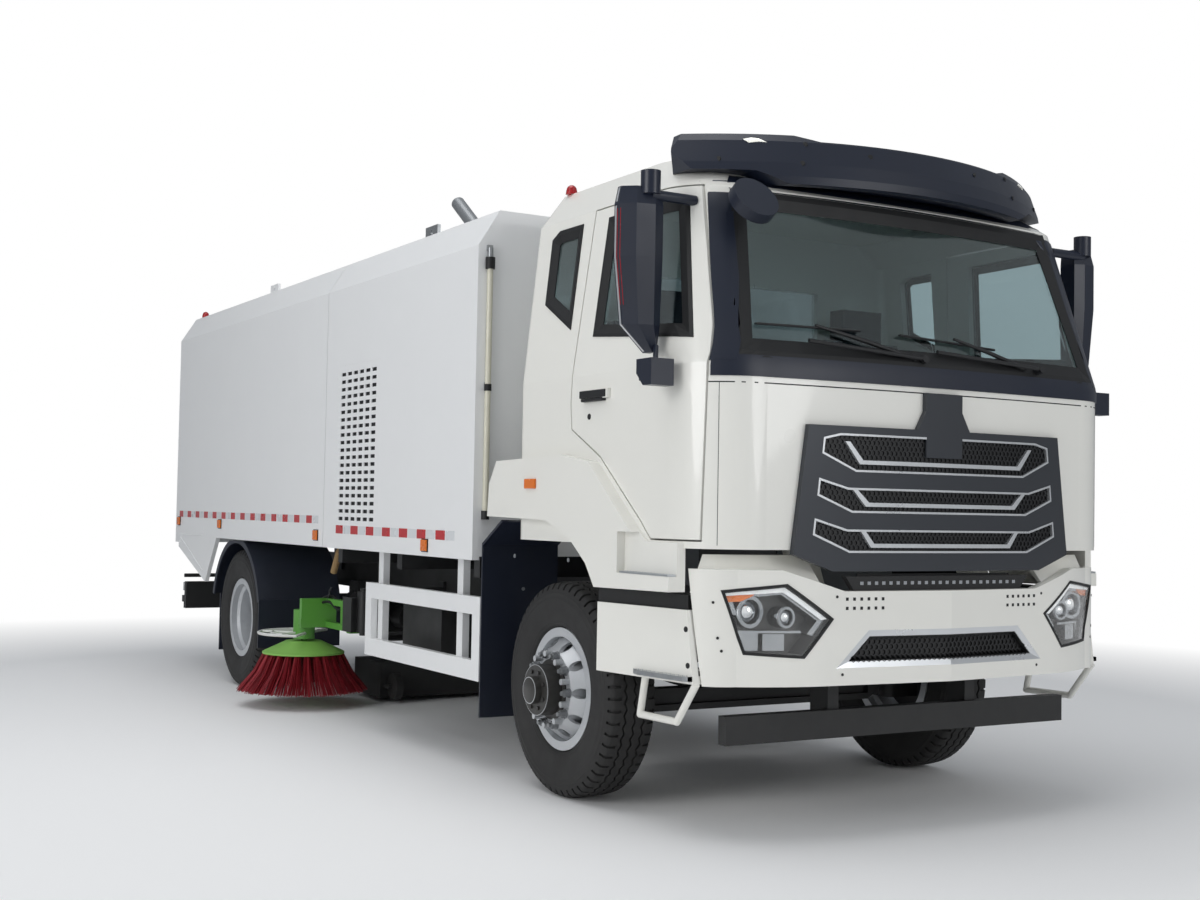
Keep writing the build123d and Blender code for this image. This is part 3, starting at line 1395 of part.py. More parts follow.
x0, x1, y0, y1, z0, z1 = battery_box
battery = block(x0, x1, -y1, -y0, z0, z1)
battery_stay = block((x0 + x1) / 2 - hanger_width, (x0 + x1) / 2 + hanger_width, -y0, -rail_y - seat_gap,
                     rail_low + rail_wall, z1)
x0, x1, y0, y1, z0, z1 = fuel_tank
tank = block(x0, x1, y0, y1, z0, z1)
tank = fillet(tank.edges().filter_by(Axis.X), fuel_tank_radius)
tank_stay = block((x0 + x1) / 2 - hanger_width, (x0 + x1) / 2 + hanger_width, rail_y + seat_gap,
                  y0 + fuel_tank_radius,
                  rail_low + rail_wall, rail_low + hanger_width)
air_tank = rod((air_tank_x[0], air_tank_y, air_tank_z), (air_tank_x[1], air_tank_y, air_tank_z),
               air_tank_radius)
air_mid = sum(air_tank_x) / 2
air_stay = block(air_mid - hanger_width / 2, air_mid + hanger_width / 2, air_tank_y, -rail_y - seat_gap,
                 rail_low + rail_wall, rail_low + hanger_width)
save("underfloor_boxes", battery + battery_stay + tank + tank_stay + air_tank + air_stay)

# Service module: white box behind the cab, with vents, floor and an engine inside.

body_section = symmetric([(body_half, body_low), (body_half, body_eave), (body_roof_half, body_roof)])
hollow_section = symmetric([
    (body_half - body_wall, floor_z + floor_thickness), (body_half - body_wall, body_eave - body_wall / 2),
    (body_roof_half - body_wall / 2, body_roof - body_wall),
])
under_section = symmetric([(body_half - body_wall, body_low - cut_over), (body_half - body_wall, floor_z)])
module = front_plate(body_section, module_rear_x, module_front_x)
module = module - front_plate(hollow_section, module_rear_x + body_wall, module_front_x - body_wall)
module = module - front_plate(under_section, module_rear_x - cut_over, module_front_x + cut_over)
vent_pocket = block(vent_x[0], vent_x[1], body_half - body_wall - cut_over, body_half + cut_over,
                    vent_z[0], vent_z[1])
module = module - pair(vent_pocket)
save("service_module", module)
vent_pitch_x = (vent_last_x - vent_first_x) / (vent_columns - 1)
vent_pitch_z = (vent_last_z - vent_first_z) / (vent_rows - 1)
vent_middle = ((vent_x[0] + vent_x[1]) / 2, (vent_z[0] + vent_z[1]) / 2)
slot_middle = ((vent_first_x + vent_last_x) / 2, (vent_first_z + vent_last_z) / 2)
vent_face = Pos(*vent_middle) * Rectangle(vent_x[1] - vent_x[0] - seat_gap * 2,
                                          vent_z[1] - vent_z[0] - seat_gap * 2)
slots = GridLocations(vent_pitch_x, vent_pitch_z, vent_columns, vent_rows)
holes = slots * Rectangle(vent_slot_length, vent_slot_height)
vent_face = vent_face - [Pos(*slot_middle) * hole for hole in holes]
vent = extrude(Plane.XZ.offset(-body_half) * vent_face, amount=vent_thickness)
save("vent_panels", pair(vent))
x0, x1, half, z0, z1 = aux_engine
save("auxiliary_engine", block(x0, x1, -half, half, floor_z + floor_thickness + seat_gap, z1))

# Roof fittings of the service module, and the water level tube.

module_eye = block(eye_places[1] - eye_radius * 2, eye_places[1] + eye_radius * 2,
                   eye_y - eye_thickness / 2, eye_y + eye_thickness / 2,
                   body_roof + seat_gap, body_roof + eye_radius * 2)
module_eye = module_eye - cross_bar(eye_places[1], body_roof + eye_radius, eye_radius / 2,
                                    eye_y - cut_over, eye_y + cut_over)
stack = rod((stack_x, stack_y, body_roof + seat_gap), (stack_x, stack_y, stack_bend_z), stack_radius)
stack = stack + Pos(stack_x, stack_y, stack_bend_z) * Sphere(stack_radius)
stack = stack + rod((stack_x, stack_y, stack_bend_z), (stack_x - stack_lean, stack_y, stack_top),
                    stack_radius)
level_tube = rod((tube_x, tube_y, tube_low), (tube_x, tube_y, tube_high), tube_radius)
for z in (tube_low, tube_clamp_z, tube_high):
    level_tube = level_tube + block(module_front_x + seat_gap, tube_x, tube_y - tube_radius,
                                    tube_y + tube_radius, z - tube_radius, z + tube_radius)
save("roof_fittings", pair(module_eye) + stack + level_tube)

# Hopper: the rear tank, open at its tail, with roof hatch, eyes and side skirts.

hopper = front_plate(body_section, hopper_rear_x, hopper_front_x)
hopper = hopper - front_plate(hollow_section, hopper_rear_x - cut_over, hopper_front_x - body_wall)
hopper = hopper - front_plate(under_section, hopper_rear_x - cut_over, hopper_front_x + cut_over)
skirt_top = skirt_outline[0][1]
skirt_room = block(hopper_rear_x - cut_over, hopper_front_x, body_half - body_wall, body_half + cut_over,
                   body_low - seat_gap, skirt_top + cut_over)
skirt = side_plate(skirt_outline, body_half - skirt_thickness, body_half) - skirt_room
x0, x1, half, z1 = hatch
hopper = hopper + block(x0, x1, -half, half, body_roof - body_wall / 2, z1)
hopper_eye = block(eye_places[0] - eye_radius * 2, eye_places[0] + eye_radius * 2,
                   eye_y - eye_thickness / 2, eye_y + eye_thickness / 2,
                   body_roof - body_wall / 2, body_roof + eye_radius * 2)
hopper_eye = hopper_eye - cross_bar(eye_places[0], body_roof + eye_radius, eye_radius / 2,
                                    eye_y - cut_over, eye_y + cut_over)
hopper = hopper + pair(hopper_eye)
lug_inner = hopper_lug_y - hopper_lug_width / 2
lug_outer = hopper_lug_y + hopper_lug_width / 2
hopper_lug = block(hopper_pivot_x - hopper_lug_radius, hopper_pivot_x + hopper_lug_radius, lug_inner,
                   lug_outer, hopper_pivot_z, floor_z + floor_thickness / 2)
hopper_lug = hopper_lug + cross_bar(hopper_pivot_x, hopper_pivot_z, hopper_lug_radius, lug_inner, lug_outer)
hopper_lug = hopper_lug - cross_bar(hopper_pivot_x, hopper_pivot_z, hopper_pin_radius + run_gap,
                                    lug_inner - cut_over, lug_outer + cut_over)
hopper = hopper + pair(hopper_lug)
ram_cheek_y0 = ram_eye_width / 2 + panel_gap
ram_cheek = block(ram_head_x - ram_eye_radius, ram_head_x + ram_eye_radius, ram_cheek_y0,
                  ram_cheek_y0 + ram_wall, ram_head_z - ram_pin_radius * 2,
                  floor_z + floor_thickness / 2)
hopper = hopper + pair(ram_cheek)
tail_hinge_x = hopper_rear_x - tail_hinge_back
tail_hinge_z = body_roof + tail_hinge_rise
tail_pin = cross_bar(tail_hinge_x, tail_hinge_z, tail_pin_radius, tail_lug_y - tail_lug_width,
                     tail_lug_y + tail_lug_width)
ear_inner = tail_lug_y + tail_lug_width / 2 + panel_gap
ear_outer = tail_lug_y + tail_lug_width
tail_ear = cross_bar(tail_hinge_x, tail_hinge_z, tail_pin_radius * 2, ear_inner, ear_outer)
tail_ear = tail_ear + block(tail_hinge_x, hopper_rear_x + body_wall, ear_inner, ear_outer,
                            body_roof - seat_gap, tail_hinge_z + tail_pin_radius)
save("hopper", hopper + pair(tail_pin + tail_ear) + pair(skirt))

# Tailgate: closes the hopper's tail, hung from its top, with upright ribs.

tail_front_x = hopper_rear_x - seat_gap * 2
gate_section = symmetric([(body_half, tail_low), (body_half, body_eave), (body_roof_half, body_roof)])
gate = front_plate(gate_section, tailgate_rear_x, tail_front_x)
bay_pitch = (body_half - tail_border) * 2 / tail_bays
for index in range(tail_bays):
    bay_y = -body_half + tail_border + bay_pitch * index
    bay = block(tailgate_rear_x - cut_over, tailgate_rear_x + tail_panel_depth, bay_y + tail_rib_width / 2,
                bay_y + bay_pitch - tail_rib_width / 2, tail_low + tail_border, body_eave - tail_border)
    gate = gate - bay
gate_lug = cross_bar(tail_hinge_x, tail_hinge_z, tail_lug_radius, tail_lug_y - tail_lug_width / 2,
                     tail_lug_y + tail_lug_width / 2)
gate_lug = gate_lug + block(tail_hinge_x - tail_lug_radius, tail_hinge_x, tail_lug_y - tail_lug_width / 2,
                            tail_lug_y + tail_lug_width / 2,
                            body_roof - body_wall, tail_hinge_z)
pin_bore = cross_bar(tail_hinge_x, tail_hinge_z, tail_pin_radius + run_gap,
                     tail_lug_y - tail_lug_width * 2, tail_lug_y + tail_lug_width * 2)
ear_room = block(tail_hinge_x - tail_lug_radius - panel_gap, tail_front_x + cut_over,
                 ear_inner - panel_gap, ear_outer + panel_gap,
                 body_roof - tail_hinge_rise, tail_hinge_z + cut_over)
gate = gate + pair(gate_lug) - pair(pin_bore) - pair(ear_room)
save("tailgate", gate)

# Suction nozzle: an open-bottomed mouth on small wheels, with a duct up to the hopper.

nozzle = block(nozzle_x[0], nozzle_x[1], -nozzle_half, nozzle_half, nozzle_low, nozzle_high)
nozzle = nozzle - block(nozzle_x[0] + nozzle_wall, nozzle_x[1] - nozzle_wall, -nozzle_half + nozzle_wall,
                        nozzle_half - nozzle_wall,
                        nozzle_low - cut_over, nozzle_high - nozzle_wall)
duct = rod((duct_x, duct_y, nozzle_high - nozzle_wall), (duct_x, duct_y, floor_z - panel_gap), duct_radius)
duct = duct - rod((duct_x, duct_y, nozzle_high - nozzle_wall * 2), (duct_x, duct_y, floor_z),
                  duct_radius - duct_wall)
mouth = rod((duct_x, duct_y, nozzle_high - nozzle_wall * 2), (duct_x, duct_y, nozzle_high + nozzle_wall),
            duct_radius - duct_wall)
nozzle = nozzle - mouth + duct
castor_z = nozzle_wheel_radius + nozzle_wheel_lift
castor = cross_bar(nozzle_x[1] + nozzle_wheel_radius, castor_z, nozzle_wheel_radius,
                   nozzle_half - nozzle_wheel_width * 2,
                   nozzle_half - nozzle_wheel_width)
castor_arm = block(nozzle_x[1] - nozzle_wall, nozzle_x[1] + nozzle_wheel_radius,
                   nozzle_half - nozzle_wheel_width, nozzle_half - nozzle_wheel_width / 2,
                   castor_z - nozzle_wall, castor_z + nozzle_wall)
nozzle = nozzle + pair(castor + castor_arm)
duct_strap = block(duct_x - hanger_width / 2, duct_x + hanger_width / 2, duct_y + duct_radius - duct_wall,
                   rail_y - rail_wall - seat_gap,
                   rail_mid, rail_mid + hanger_width)
save("suction_nozzle", nozzle + duct_strap)

# Rear underrun bar, tail lamps and the spray pipe behind them.

rear_bar = block(rear_bar_x - rear_bar_depth, rear_bar_x - seat_gap, -rear_bar_half, rear_bar_half,
                 rear_bar_low, rear_bar_high)
lamp = block(rear_bar_x - tail_lamp_depth, rear_bar_x - seat_gap, rear_bar_half - tail_lamp_width,
             rear_bar_half, rear_bar_high, tail_lamp_low + tail_lamp_height)
pipe = cross_bar(spray_pipe_x, spray_pipe_z, spray_pipe_radius, -rear_bar_half, rear_bar_half)
pipe_stay = block(spray_pipe_x - spray_pipe_radius, rear_bar_x - seat_gap, rail_y - hanger_width, rail_y,
                  rear_bar_high, spray_pipe_z)
marker = block(-tail_reach, rear_bar_x - rear_bar_depth, rear_bar_half - tail_lamp_depth, rear_bar_half,
               rear_bar_high - tail_lamp_depth, rear_bar_high)
save("rear_underrun", rear_bar + pair(lamp + pipe_stay + marker) + pipe)


# Side brush. Built on the left and mirrored for the right.

def side_brush():
    """Disc with its hub, and the ring of tines under its rim."""
    disc_rim = brush_rim_radius
    disc = turned_up([
        (brush_shaft_radius + run_gap, brush_disc_top), (brush_disc_top_radius,
                                                         brush_disc_top), (disc_rim, brush_rim_z),
        (disc_rim, brush_rim_z - brush_disc_wall), (disc_rim - tine_root_depth * 2,
                                                    brush_rim_z - brush_disc_wall),
        (brush_disc_top_radius, brush_disc_top - brush_disc_wall * 2),
        (brush_shaft_radius + run_gap, brush_disc_top - brush_disc_wall * 2),
    ])
    return disc


def turned_up(points):
    """A round piece on the vertical axis from (radius, height) pairs."""
    face = make_face(Polyline(*points, close=True))
    return revolve(Plane.XZ * face, Axis.Z, 360)


def tines():
    """Flat tufts that flare out from under the disc's rim, joined by their holding ring."""
    root_radius = brush_rim_radius - tine_root_depth
    root_z = brush_rim_z - brush_disc_wall - seat_gap
    root = Plane(origin=(root_radius, 0, root_z)) * Rectangle(tine_root_depth, tine_root_width)
    tip = Plane(origin=(brush_tip_radius - tine_tip_depth / 2, 0,
                        brush_tip_z)) * Rectangle(tine_tip_depth, tine_tip_width)
    tuft = loft([tip, root], ruled=True)
    ring = turned_up([
        (root_radius - tine_root_depth, root_z), (root_radius + tine_root_depth / 2, root_z),
        (root_radius + tine_root_depth / 2, root_z - brush_disc_wall), (root_radius - tine_root_depth,
                                                                        root_z - brush_disc_wall),
    ])
    for index in range(tine_count):
        ring = ring + Rot(0, 0, index * 360 / tine_count) * tuft
    return ring


brush_place = Pos(brush_x, brush_y, 0)
disc = brush_place * side_brush()
bristles = brush_place * tines()
save("brush_disc_left", disc)
save("brush_disc_right", mirrored(disc))
save("brush_bristles_left", bristles)
save("brush_bristles_right", mirrored(bristles))

# Carrier: vertical tube on the frame's pin, with cheeks for the lift pin.

carrier = rod((swing_x, swing_y, swing_low), (swing_x, swing_y, swing_high), swing_tube_radius)
cheek_y = arm_half_width + arm_plate + panel_gap
for side in (-cheek_y, cheek_y):
    carrier = carrier + block(lift_x - arm_bar, swing_x, swing_y + side - arm_plate / 2,
                              swing_y + side + arm_plate / 2, swing_low, swing_high - arm_bar)
carrier_web = block(swing_x - swing_tube_radius - arm_plate, swing_x - arm_plate, swing_y - cheek_y,
                    swing_y + cheek_y, swing_low, swing_high - arm_bar)
carrier = carrier + carrier_web
lift_pin = cross_bar(lift_x, lift_z, lift_pin_radius, swing_y - cheek_y, swing_y + cheek_y)
carrier = carrier + lift_pin
carrier = carrier - rod((swing_x, swing_y, swing_low - cut_over),
                        (swing_x, swing_y, swing_high + cut_over), swing_pin_radius + run_gap)
save("brush_carrier_left", carrier)
save("brush_carrier_right", mirrored(carrier))

# Arm: two bars and their end plates, with the motor and its shaft over the brush.

arm_head_x = brush_x + motor_radius + arm_bar - arm_plate
arm = None
for z in (arm_bar_low, arm_bar_high):
    bar = block(arm_head_x - arm_bar, lift_x + arm_bar / 2, swing_y - arm_bar / 2, swing_y + arm_bar / 2,
                z - arm_bar / 2, z + arm_bar / 2)
    arm = bar if arm is None else arm + bar
hinge_block = block(lift_x - arm_bar, lift_x + arm_bar / 2, swing_y - arm_half_width,
                    swing_y + arm_half_width, arm_bar_low - arm_bar / 2, arm_bar_high + arm_bar / 2)
mid_x = (arm_head_x + lift_x) / 2
web_plate = block(mid_x - arm_bar / 2, mid_x + arm_bar / 2, swing_y - arm_plate / 2,
                  swing_y + arm_plate / 2, arm_bar_low, arm_bar_high)
head_plate = block(arm_head_x - arm_bar, arm_head_x, swing_y - arm_half_width, brush_y + arm_half_width,
                   arm_bar_low - arm_bar / 2, arm_bar_high + arm_bar / 2)
motor = rod((brush_x, brush_y, motor_low), (brush_x, brush_y, motor_high), motor_radius)
foot_half = motor_radius - arm_plate
motor_foot = block(brush_x, arm_head_x, brush_y - foot_half, brush_y + foot_half, arm_bar_low,
                   arm_bar_low + arm_bar)
shaft = rod((brush_x, brush_y, brush_disc_top - brush_disc_wall * 2), (brush_x, brush_y, motor_low),
            brush_shaft_radius)
arm = arm + hinge_block + web_plate + head_plate + motor + motor_foot + shaft
arm = arm - cross_bar(lift_x, lift_z, lift_pin_radius + run_gap, swing_y - cut_over * 2,
                      swing_y + cut_over * 2)
save("brush_arm_left", arm)
save("brush_arm_right", mirrored(arm))

# Hopper lift cylinder: barrel on the frame's pin and rod up to the hopper's cheeks.

span = (ram_head_x - ram_foot_x, ram_head_z - ram_foot_z)
ram_length = hypot(*span)
ram_direction = (span[0] / ram_length, span[1] / ram_length)
barrel_end = ram_length * ram_barrel_share


def along_ram(distance):
    """A point on the cylinder's centre line."""
    return (ram_foot_x + ram_direction[0] * distance, 0, ram_foot_z + ram_direction[1] * distance)


barrel = rod(along_ram(ram_eye_radius), along_ram(barrel_end), ram_barrel_radius)
barrel = barrel + cross_bar(ram_foot_x, ram_foot_z, ram_eye_radius, -ram_eye_width / 2, ram_eye_width / 2)
barrel = barrel - cross_bar(ram_foot_x, ram_foot_z, ram_pin_radius + run_gap, -ram_eye_width, ram_eye_width)
barrel = barrel - rod(along_ram(ram_eye_radius + ram_wall * 2), along_ram(ram_length),
                      ram_rod_radius + run_gap)
ram_rod = rod(along_ram(ram_eye_radius + ram_wall * 3), along_ram(ram_length - ram_eye_radius / 2),
              ram_rod_radius)
ram_rod = ram_rod + cross_bar(ram_head_x, ram_head_z, ram_eye_radius, -ram_eye_width / 2, ram_eye_width / 2)
save("lift_barrel", barrel)
save("lift_rod", ram_rod)
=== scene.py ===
import math
import random
import bpy
import bmesh
from mathutils import Matrix, Vector
from mathutils.bvhtree import BVHTree


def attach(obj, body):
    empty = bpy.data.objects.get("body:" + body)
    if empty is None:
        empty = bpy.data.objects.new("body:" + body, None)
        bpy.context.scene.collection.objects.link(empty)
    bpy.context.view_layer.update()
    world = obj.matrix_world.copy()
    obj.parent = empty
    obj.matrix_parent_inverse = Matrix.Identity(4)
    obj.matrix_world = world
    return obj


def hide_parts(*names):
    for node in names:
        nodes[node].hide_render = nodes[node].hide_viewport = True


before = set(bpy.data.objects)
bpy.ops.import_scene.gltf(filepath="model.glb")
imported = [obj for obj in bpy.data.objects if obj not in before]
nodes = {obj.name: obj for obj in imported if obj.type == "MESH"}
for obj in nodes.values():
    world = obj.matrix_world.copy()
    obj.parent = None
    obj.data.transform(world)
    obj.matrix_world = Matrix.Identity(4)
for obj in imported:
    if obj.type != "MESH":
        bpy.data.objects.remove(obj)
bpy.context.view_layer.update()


# Ground, backdrop and studio light.
# The truck stands on a plain pale floor under a large soft ceiling light, a side light and a
# weak fill, in front of a white backdrop.

def linear(hex_colour):
    """The linear red, green, blue and alpha of an sRGB hex colour."""
    channels = [int(hex_colour[i:i + 2], 16) / 255 for i in (0, 2, 4)]
    return [c / 12.92 if c <= 0.04045 else ((c + 0.055) / 1.055) ** 2.4 for c in channels] + [1.0]


def add_node(tree, kind, settings=None, links=None):
    """A shader node with its own settings, its unlinked inputs and its links."""
    node = tree.nodes.new(kind)
    for name, value in (settings or {}).items():
        if isinstance(name, str) and hasattr(node, name):
            setattr(node, name, value)
        else:
            node.inputs[name].default_value = value
    for name, source in (links or {}).items():
        tree.links.new(source, node.inputs[name])
    return node


def new_material(name):
    """An empty material, its tree and its output node."""
    material = bpy.data.materials.new(name)
    material.use_nodes = True
    material.node_tree.nodes.clear()
    out = material.node_tree.nodes.new("ShaderNodeOutputMaterial")
    return material, material.node_tree, out


floor_size = 60.0
backdrop_white = "FFFFFF"
floor_mesh = bmesh.new()
bmesh.ops.create_grid(floor_mesh, x_segments=1, y_segments=1, size=floor_size / 2)
floor_data = bpy.data.meshes.new("studio_floor")
floor_mesh.to_mesh(floor_data)
floor_mesh.free()
floor = bpy.data.objects.new("studio_floor", floor_data)
bpy.context.scene.collection.objects.link(floor)

# The floor is matt pale paint: it takes the truck's soft shadow and fades to white further out.
floor_finish, tree, out = new_material("matt_pale_floor_paint")
place = add_node(tree, "ShaderNodeTexCoord")
distance = add_node(tree, "ShaderNodeVectorMath", {"operation": "LENGTH"}, {"Vector": place.outputs["Object"]})
fade = add_node(tree, "ShaderNodeMapRange", {"From Min": 5.0, "From Max": 9.0},
                {"Value": distance.outputs["Value"]})
path = add_node(tree, "ShaderNodeLightPath")
seen = add_node(tree, "ShaderNodeMath", {"operation": "MAXIMUM"},
                {0: path.outputs["Is Camera Ray"], 1: path.outputs["Is Transmission Ray"]})
share = add_node(tree, "ShaderNodeMath", {"operation": "MULTIPLY"}, {0: seen.outputs[0], 1: fade.outputs["Result"]})
paint = add_node(tree, "ShaderNodeBsdfPrincipled", {"Base Color": linear("F4F4F4"), "Roughness": 0.9})
white = add_node(tree, "ShaderNodeEmission", {"Color": linear(backdrop_white), "Strength": 1.0})
mixed = add_node(tree, "ShaderNodeMixShader", {}, {0: share.outputs[0], 1: paint.outputs[0], 2: white.outputs[0]})
tree.links.new(mixed.outputs[0], out.inputs["Surface"])
floor_data.materials.append(floor_finish)

world = bpy.data.worlds.new("studio_world")
bpy.context.scene.world = world
world.use_nodes = True
tree = world.node_tree
tree.nodes.clear()
out = tree.nodes.new("ShaderNodeOutputWorld")
path = add_node(tree, "ShaderNodeLightPath")
seen = add_node(tree, "ShaderNodeMath", {"operation": "MAXIMUM"},
                {0: path.outputs["Is Camera Ray"], 1: path.outputs["Is Transmission Ray"]})
place = add_node(tree, "ShaderNodeTexCoord")
up = add_node(tree, "ShaderNodeSeparateXYZ", {}, {0: place.outputs["Generated"]})
sky_blend = add_node(tree, "ShaderNodeMapRange", {"From Min": -0.1, "From Max": 0.7}, {"Value": up.outputs["Z"]})
sky_colour = add_node(tree, "ShaderNodeValToRGB", {}, {"Fac": sky_blend.outputs["Result"]})
sky_colour.color_ramp.elements[0].color = linear("B4B7BB")
sky_colour.color_ramp.elements[1].color = linear("EDF2F8")
soft = add_node(tree, "ShaderNodeBackground", {"Strength": 0.44}, {"Color": sky_colour.outputs["Color"]})
white = add_node(tree, "ShaderNodeBackground", {"Color": linear(backdrop_white), "Strength": 1.0})
mixed = add_node(tree, "ShaderNodeMixShader", {}, {0: seen.outputs[0], 1: soft.outputs[0], 2: white.outputs[0]})
tree.links.new(mixed.outputs[0], out.inputs["Surface"])

# Lamps, columns: name, place, aim, size, power
truck_middle = (1.2, 0.0, 1.4)
lamps = [
    ("ceiling_light", (2.0, -2.5, 10.5), truck_middle, 9.0, 390),
    ("side_light", (5.0, -13.0, 5.0), truck_middle, 7.0, 500),
    ("front_light", (14.5, 3.0, 4.5), truck_middle, 6.0, 300),
]
for name, spot, aim, size, power in lamps:
    lamp = bpy.data.lights.new(name, "AREA")
    lamp.shape = "DISK"
    lamp.size = size
    lamp.energy = power
    lamp_object = bpy.data.objects.new(name, lamp)
    bpy.context.scene.collection.objects.link(lamp_object)
    lamp_object.location = spot
    lamp_object.rotation_euler = (Vector(aim) - Vector(spot)).to_track_quat("-Z", "Y").to_euler()


# Camera, at the photograph's place: right of the nose, at chest height, looking slightly up.
# Its lens, place and turn were solved from the truck's own edges in the photograph.
front_axle = 2.62
eye = Vector((front_axle + 6.2096, -4.5901, 1.3517))
yaw, pitch, roll = math.radians(30.515), math.radians(2.2745), math.radians(1.035)
forward = Vector((-math.cos(yaw) * math.cos(pitch), math.sin(yaw) * math.cos(pitch), math.sin(pitch)))
right = forward.cross(Vector((0, 0, 1))).normalized()
upward = right.cross(forward)
turned_right = right * math.cos(roll) + upward * math.sin(roll)
turned_up = upward * math.cos(roll) - right * math.sin(roll)
camera = bpy.data.cameras.new("camera")
camera.lens = 45.0
camera.sensor_width = 36.0
camera.clip_end = 200
camera_object = bpy.data.objects.new("camera", camera)
bpy.context.scene.collection.objects.link(camera_object)
camera_object.matrix_world = Matrix((
    (turned_right.x, turned_up.x, -forward.x, eye.x),
    (turned_right.y, turned_up.y, -forward.y, eye.y),
    (turned_right.z, turned_up.z, -forward.z, eye.z),
    (0, 0, 0, 1),
))
bpy.context.scene.camera = camera_object
bpy.context.scene.view_settings.view_transform = "Standard"


# Painted, moulded and cast finishes of the CAD nodes.
# Cab and fenders are pressed steel and moulded panels in warm white lacquer, the bodies are sprayed
# sheet steel, and what lies under them is thickly painted steel, castings, plastic or rubber.

# A colour Mix node's sockets
colour_a, colour_b, colour_out = 6, 7, 2


def surface(name, colour, other, patch, rough, grain, depth, metallic=0.0, coat=0.0, dust=0.0,
            dust_colour="8B8578"):
    """A sprayed, moulded or cast surface that changes slowly over patches (m) within a roughness range.

    Its grain (mm) has a depth (mm), and road dust lies on its lower parts.
    """
    material, tree, out = new_material(name)
    place = add_node(tree, "ShaderNodeTexCoord")
    patches = add_node(tree, "ShaderNodeTexNoise", {"Scale": 1 / patch, "Detail": 4.0, "Roughness": 0.6},
                       {"Vector": place.outputs["Object"]})
    tone = add_node(tree, "ShaderNodeMix", {"data_type": "RGBA"}, {"Factor": patches.outputs["Fac"]})
    tone.inputs[colour_a].default_value = linear(colour)
    tone.inputs[colour_b].default_value = linear(other)
    shine = add_node(tree, "ShaderNodeMapRange",
                     {"From Min": 0.3, "From Max": 0.7, "To Min": rough[0], "To Max": rough[1]},
                     {"Value": patches.outputs["Fac"]})
    grains = add_node(tree, "ShaderNodeTexNoise", {"Scale": 1000 / grain, "Detail": 2.0},
                      {"Vector": place.outputs["Object"]})
    relief = add_node(tree, "ShaderNodeBump", {"Strength": 0.6, "Distance": depth / 1000},
                      {"Height": grains.outputs["Fac"]})
    colour_source, rough_source = tone.outputs[colour_out], shine.outputs["Result"]
    if dust > 0:
        height = add_node(tree, "ShaderNodeSeparateXYZ", {}, {0: place.outputs["Object"]})
        low = add_node(tree, "ShaderNodeMapRange", {"From Min": 1.5, "From Max": 0.2, "To Min": 0.0, "To Max": 1.0},
                       {"Value": height.outputs["Z"]})
        specks = add_node(tree, "ShaderNodeTexNoise", {"Scale": 14.0, "Detail": 8.0, "Roughness": 0.7},
                          {"Vector": place.outputs["Object"]})
        cover = add_node(tree, "ShaderNodeMath", {"operation": "MULTIPLY"},
                         {0: low.outputs["Result"], 1: specks.outputs["Fac"]})
        amount = add_node(tree, "ShaderNodeMath", {"operation": "MULTIPLY", 1: dust}, {0: cover.outputs[0]})
        dusty = add_node(tree, "ShaderNodeMix", {"data_type": "RGBA"}, {"Factor": amount.outputs[0]})
        dusty.inputs[colour_b].default_value = linear(dust_colour)
        tree.links.new(colour_source, dusty.inputs[colour_a])
        duller = add_node(tree, "ShaderNodeMath", {"operation": "ADD", "use_clamp": True},
                          {0: rough_source, 1: amount.outputs[0]})
        colour_source, rough_source = dusty.outputs[colour_out], duller.outputs[0]
    shader = add_node(tree, "ShaderNodeBsdfPrincipled",
                      {"Metallic": metallic, "Coat Weight": coat, "Coat Roughness": 0.06},
                      {"Base Color": colour_source, "Roughness": rough_source, "Normal": relief.outputs["Normal"]})
    tree.links.new(shader.outputs[0], out.inputs["Surface"])
    return material


def finish(material, *names):
    """Gives CAD nodes their material."""
    for name in names:
        slots = nodes[name].data.materials
        slots.clear()
        slots.append(material)


# Two-layer sprayed paint: warm white under gloss lacquer, with a faint orange-peel skin.
cab_paint = surface("warm_white_lacquered_paint", "F1F0EA", "ECEBE4", 1.4, (0.26, 0.34), 9.0, 0.012, coat=0.7,
                    dust=0.05)
finish(cab_paint, "cab_shell", "door_left", "door_right", "cab_fenders", "bumper", "step_panels")

# Sprayed sheet steel: cooler white than the cab, a little flatter and wavier.
body_paint = surface("white_sprayed_sheet_steel", "EFF0F0", "E9EAEB", 0.9, (0.34, 0.44), 14.0, 0.02, coat=0.35,
                     dust=0.08)
finish(body_paint, "service_module", "hopper", "tailgate", "side_guards", "vent_panels")

# Moulded plastic in blue-black, with a fine leather grain that catches a soft light.
dark_trim = surface("blue_black_grained_plastic", "1B2233", "161C2A", 0.5, (0.34, 0.46), 1.6, 0.05, dust=0.05)
finish(dark_trim, "visor", "mirrors", "mirror_left", "mirror_right", "mudguards", "dashboard")

# Unpainted moulded plastic and rubber, black with a dull bloom.
black_plastic = surface("black_moulded_plastic", "111215", "17181B", 0.3, (0.45, 0.6), 1.2, 0.05, dust=0.1)
finish(black_plastic, "bumper_grille", "wipers", "steering_wheel")

# Chassis paint: sprayed thick over steel, half gloss, with road dust.
chassis_paint = surface("black_chassis_paint", "141517", "1B1C1E", 0.4, (0.38, 0.55), 5.0, 0.05, dust=0.14,
                        dust_colour="6E6B66")
finish(chassis_paint, "frame", "front_axle", "rear_axle", "leaf_springs", "underfloor_boxes", "driveline",
       "knuckle_left", "knuckle_right", "rear_underrun", "suction_nozzle", "brush_carrier_left",
       "brush_carrier_right", "lift_barrel")

# Brushed stainless steel on the roof: stack, lifting eyes and hatch.
stainless = surface("brushed_stainless_steel", "A9ACAE", "989B9E", 0.2, (0.28, 0.4), 1.5, 0.02, metallic=0.85)
finish(stainless, "roof_fittings")

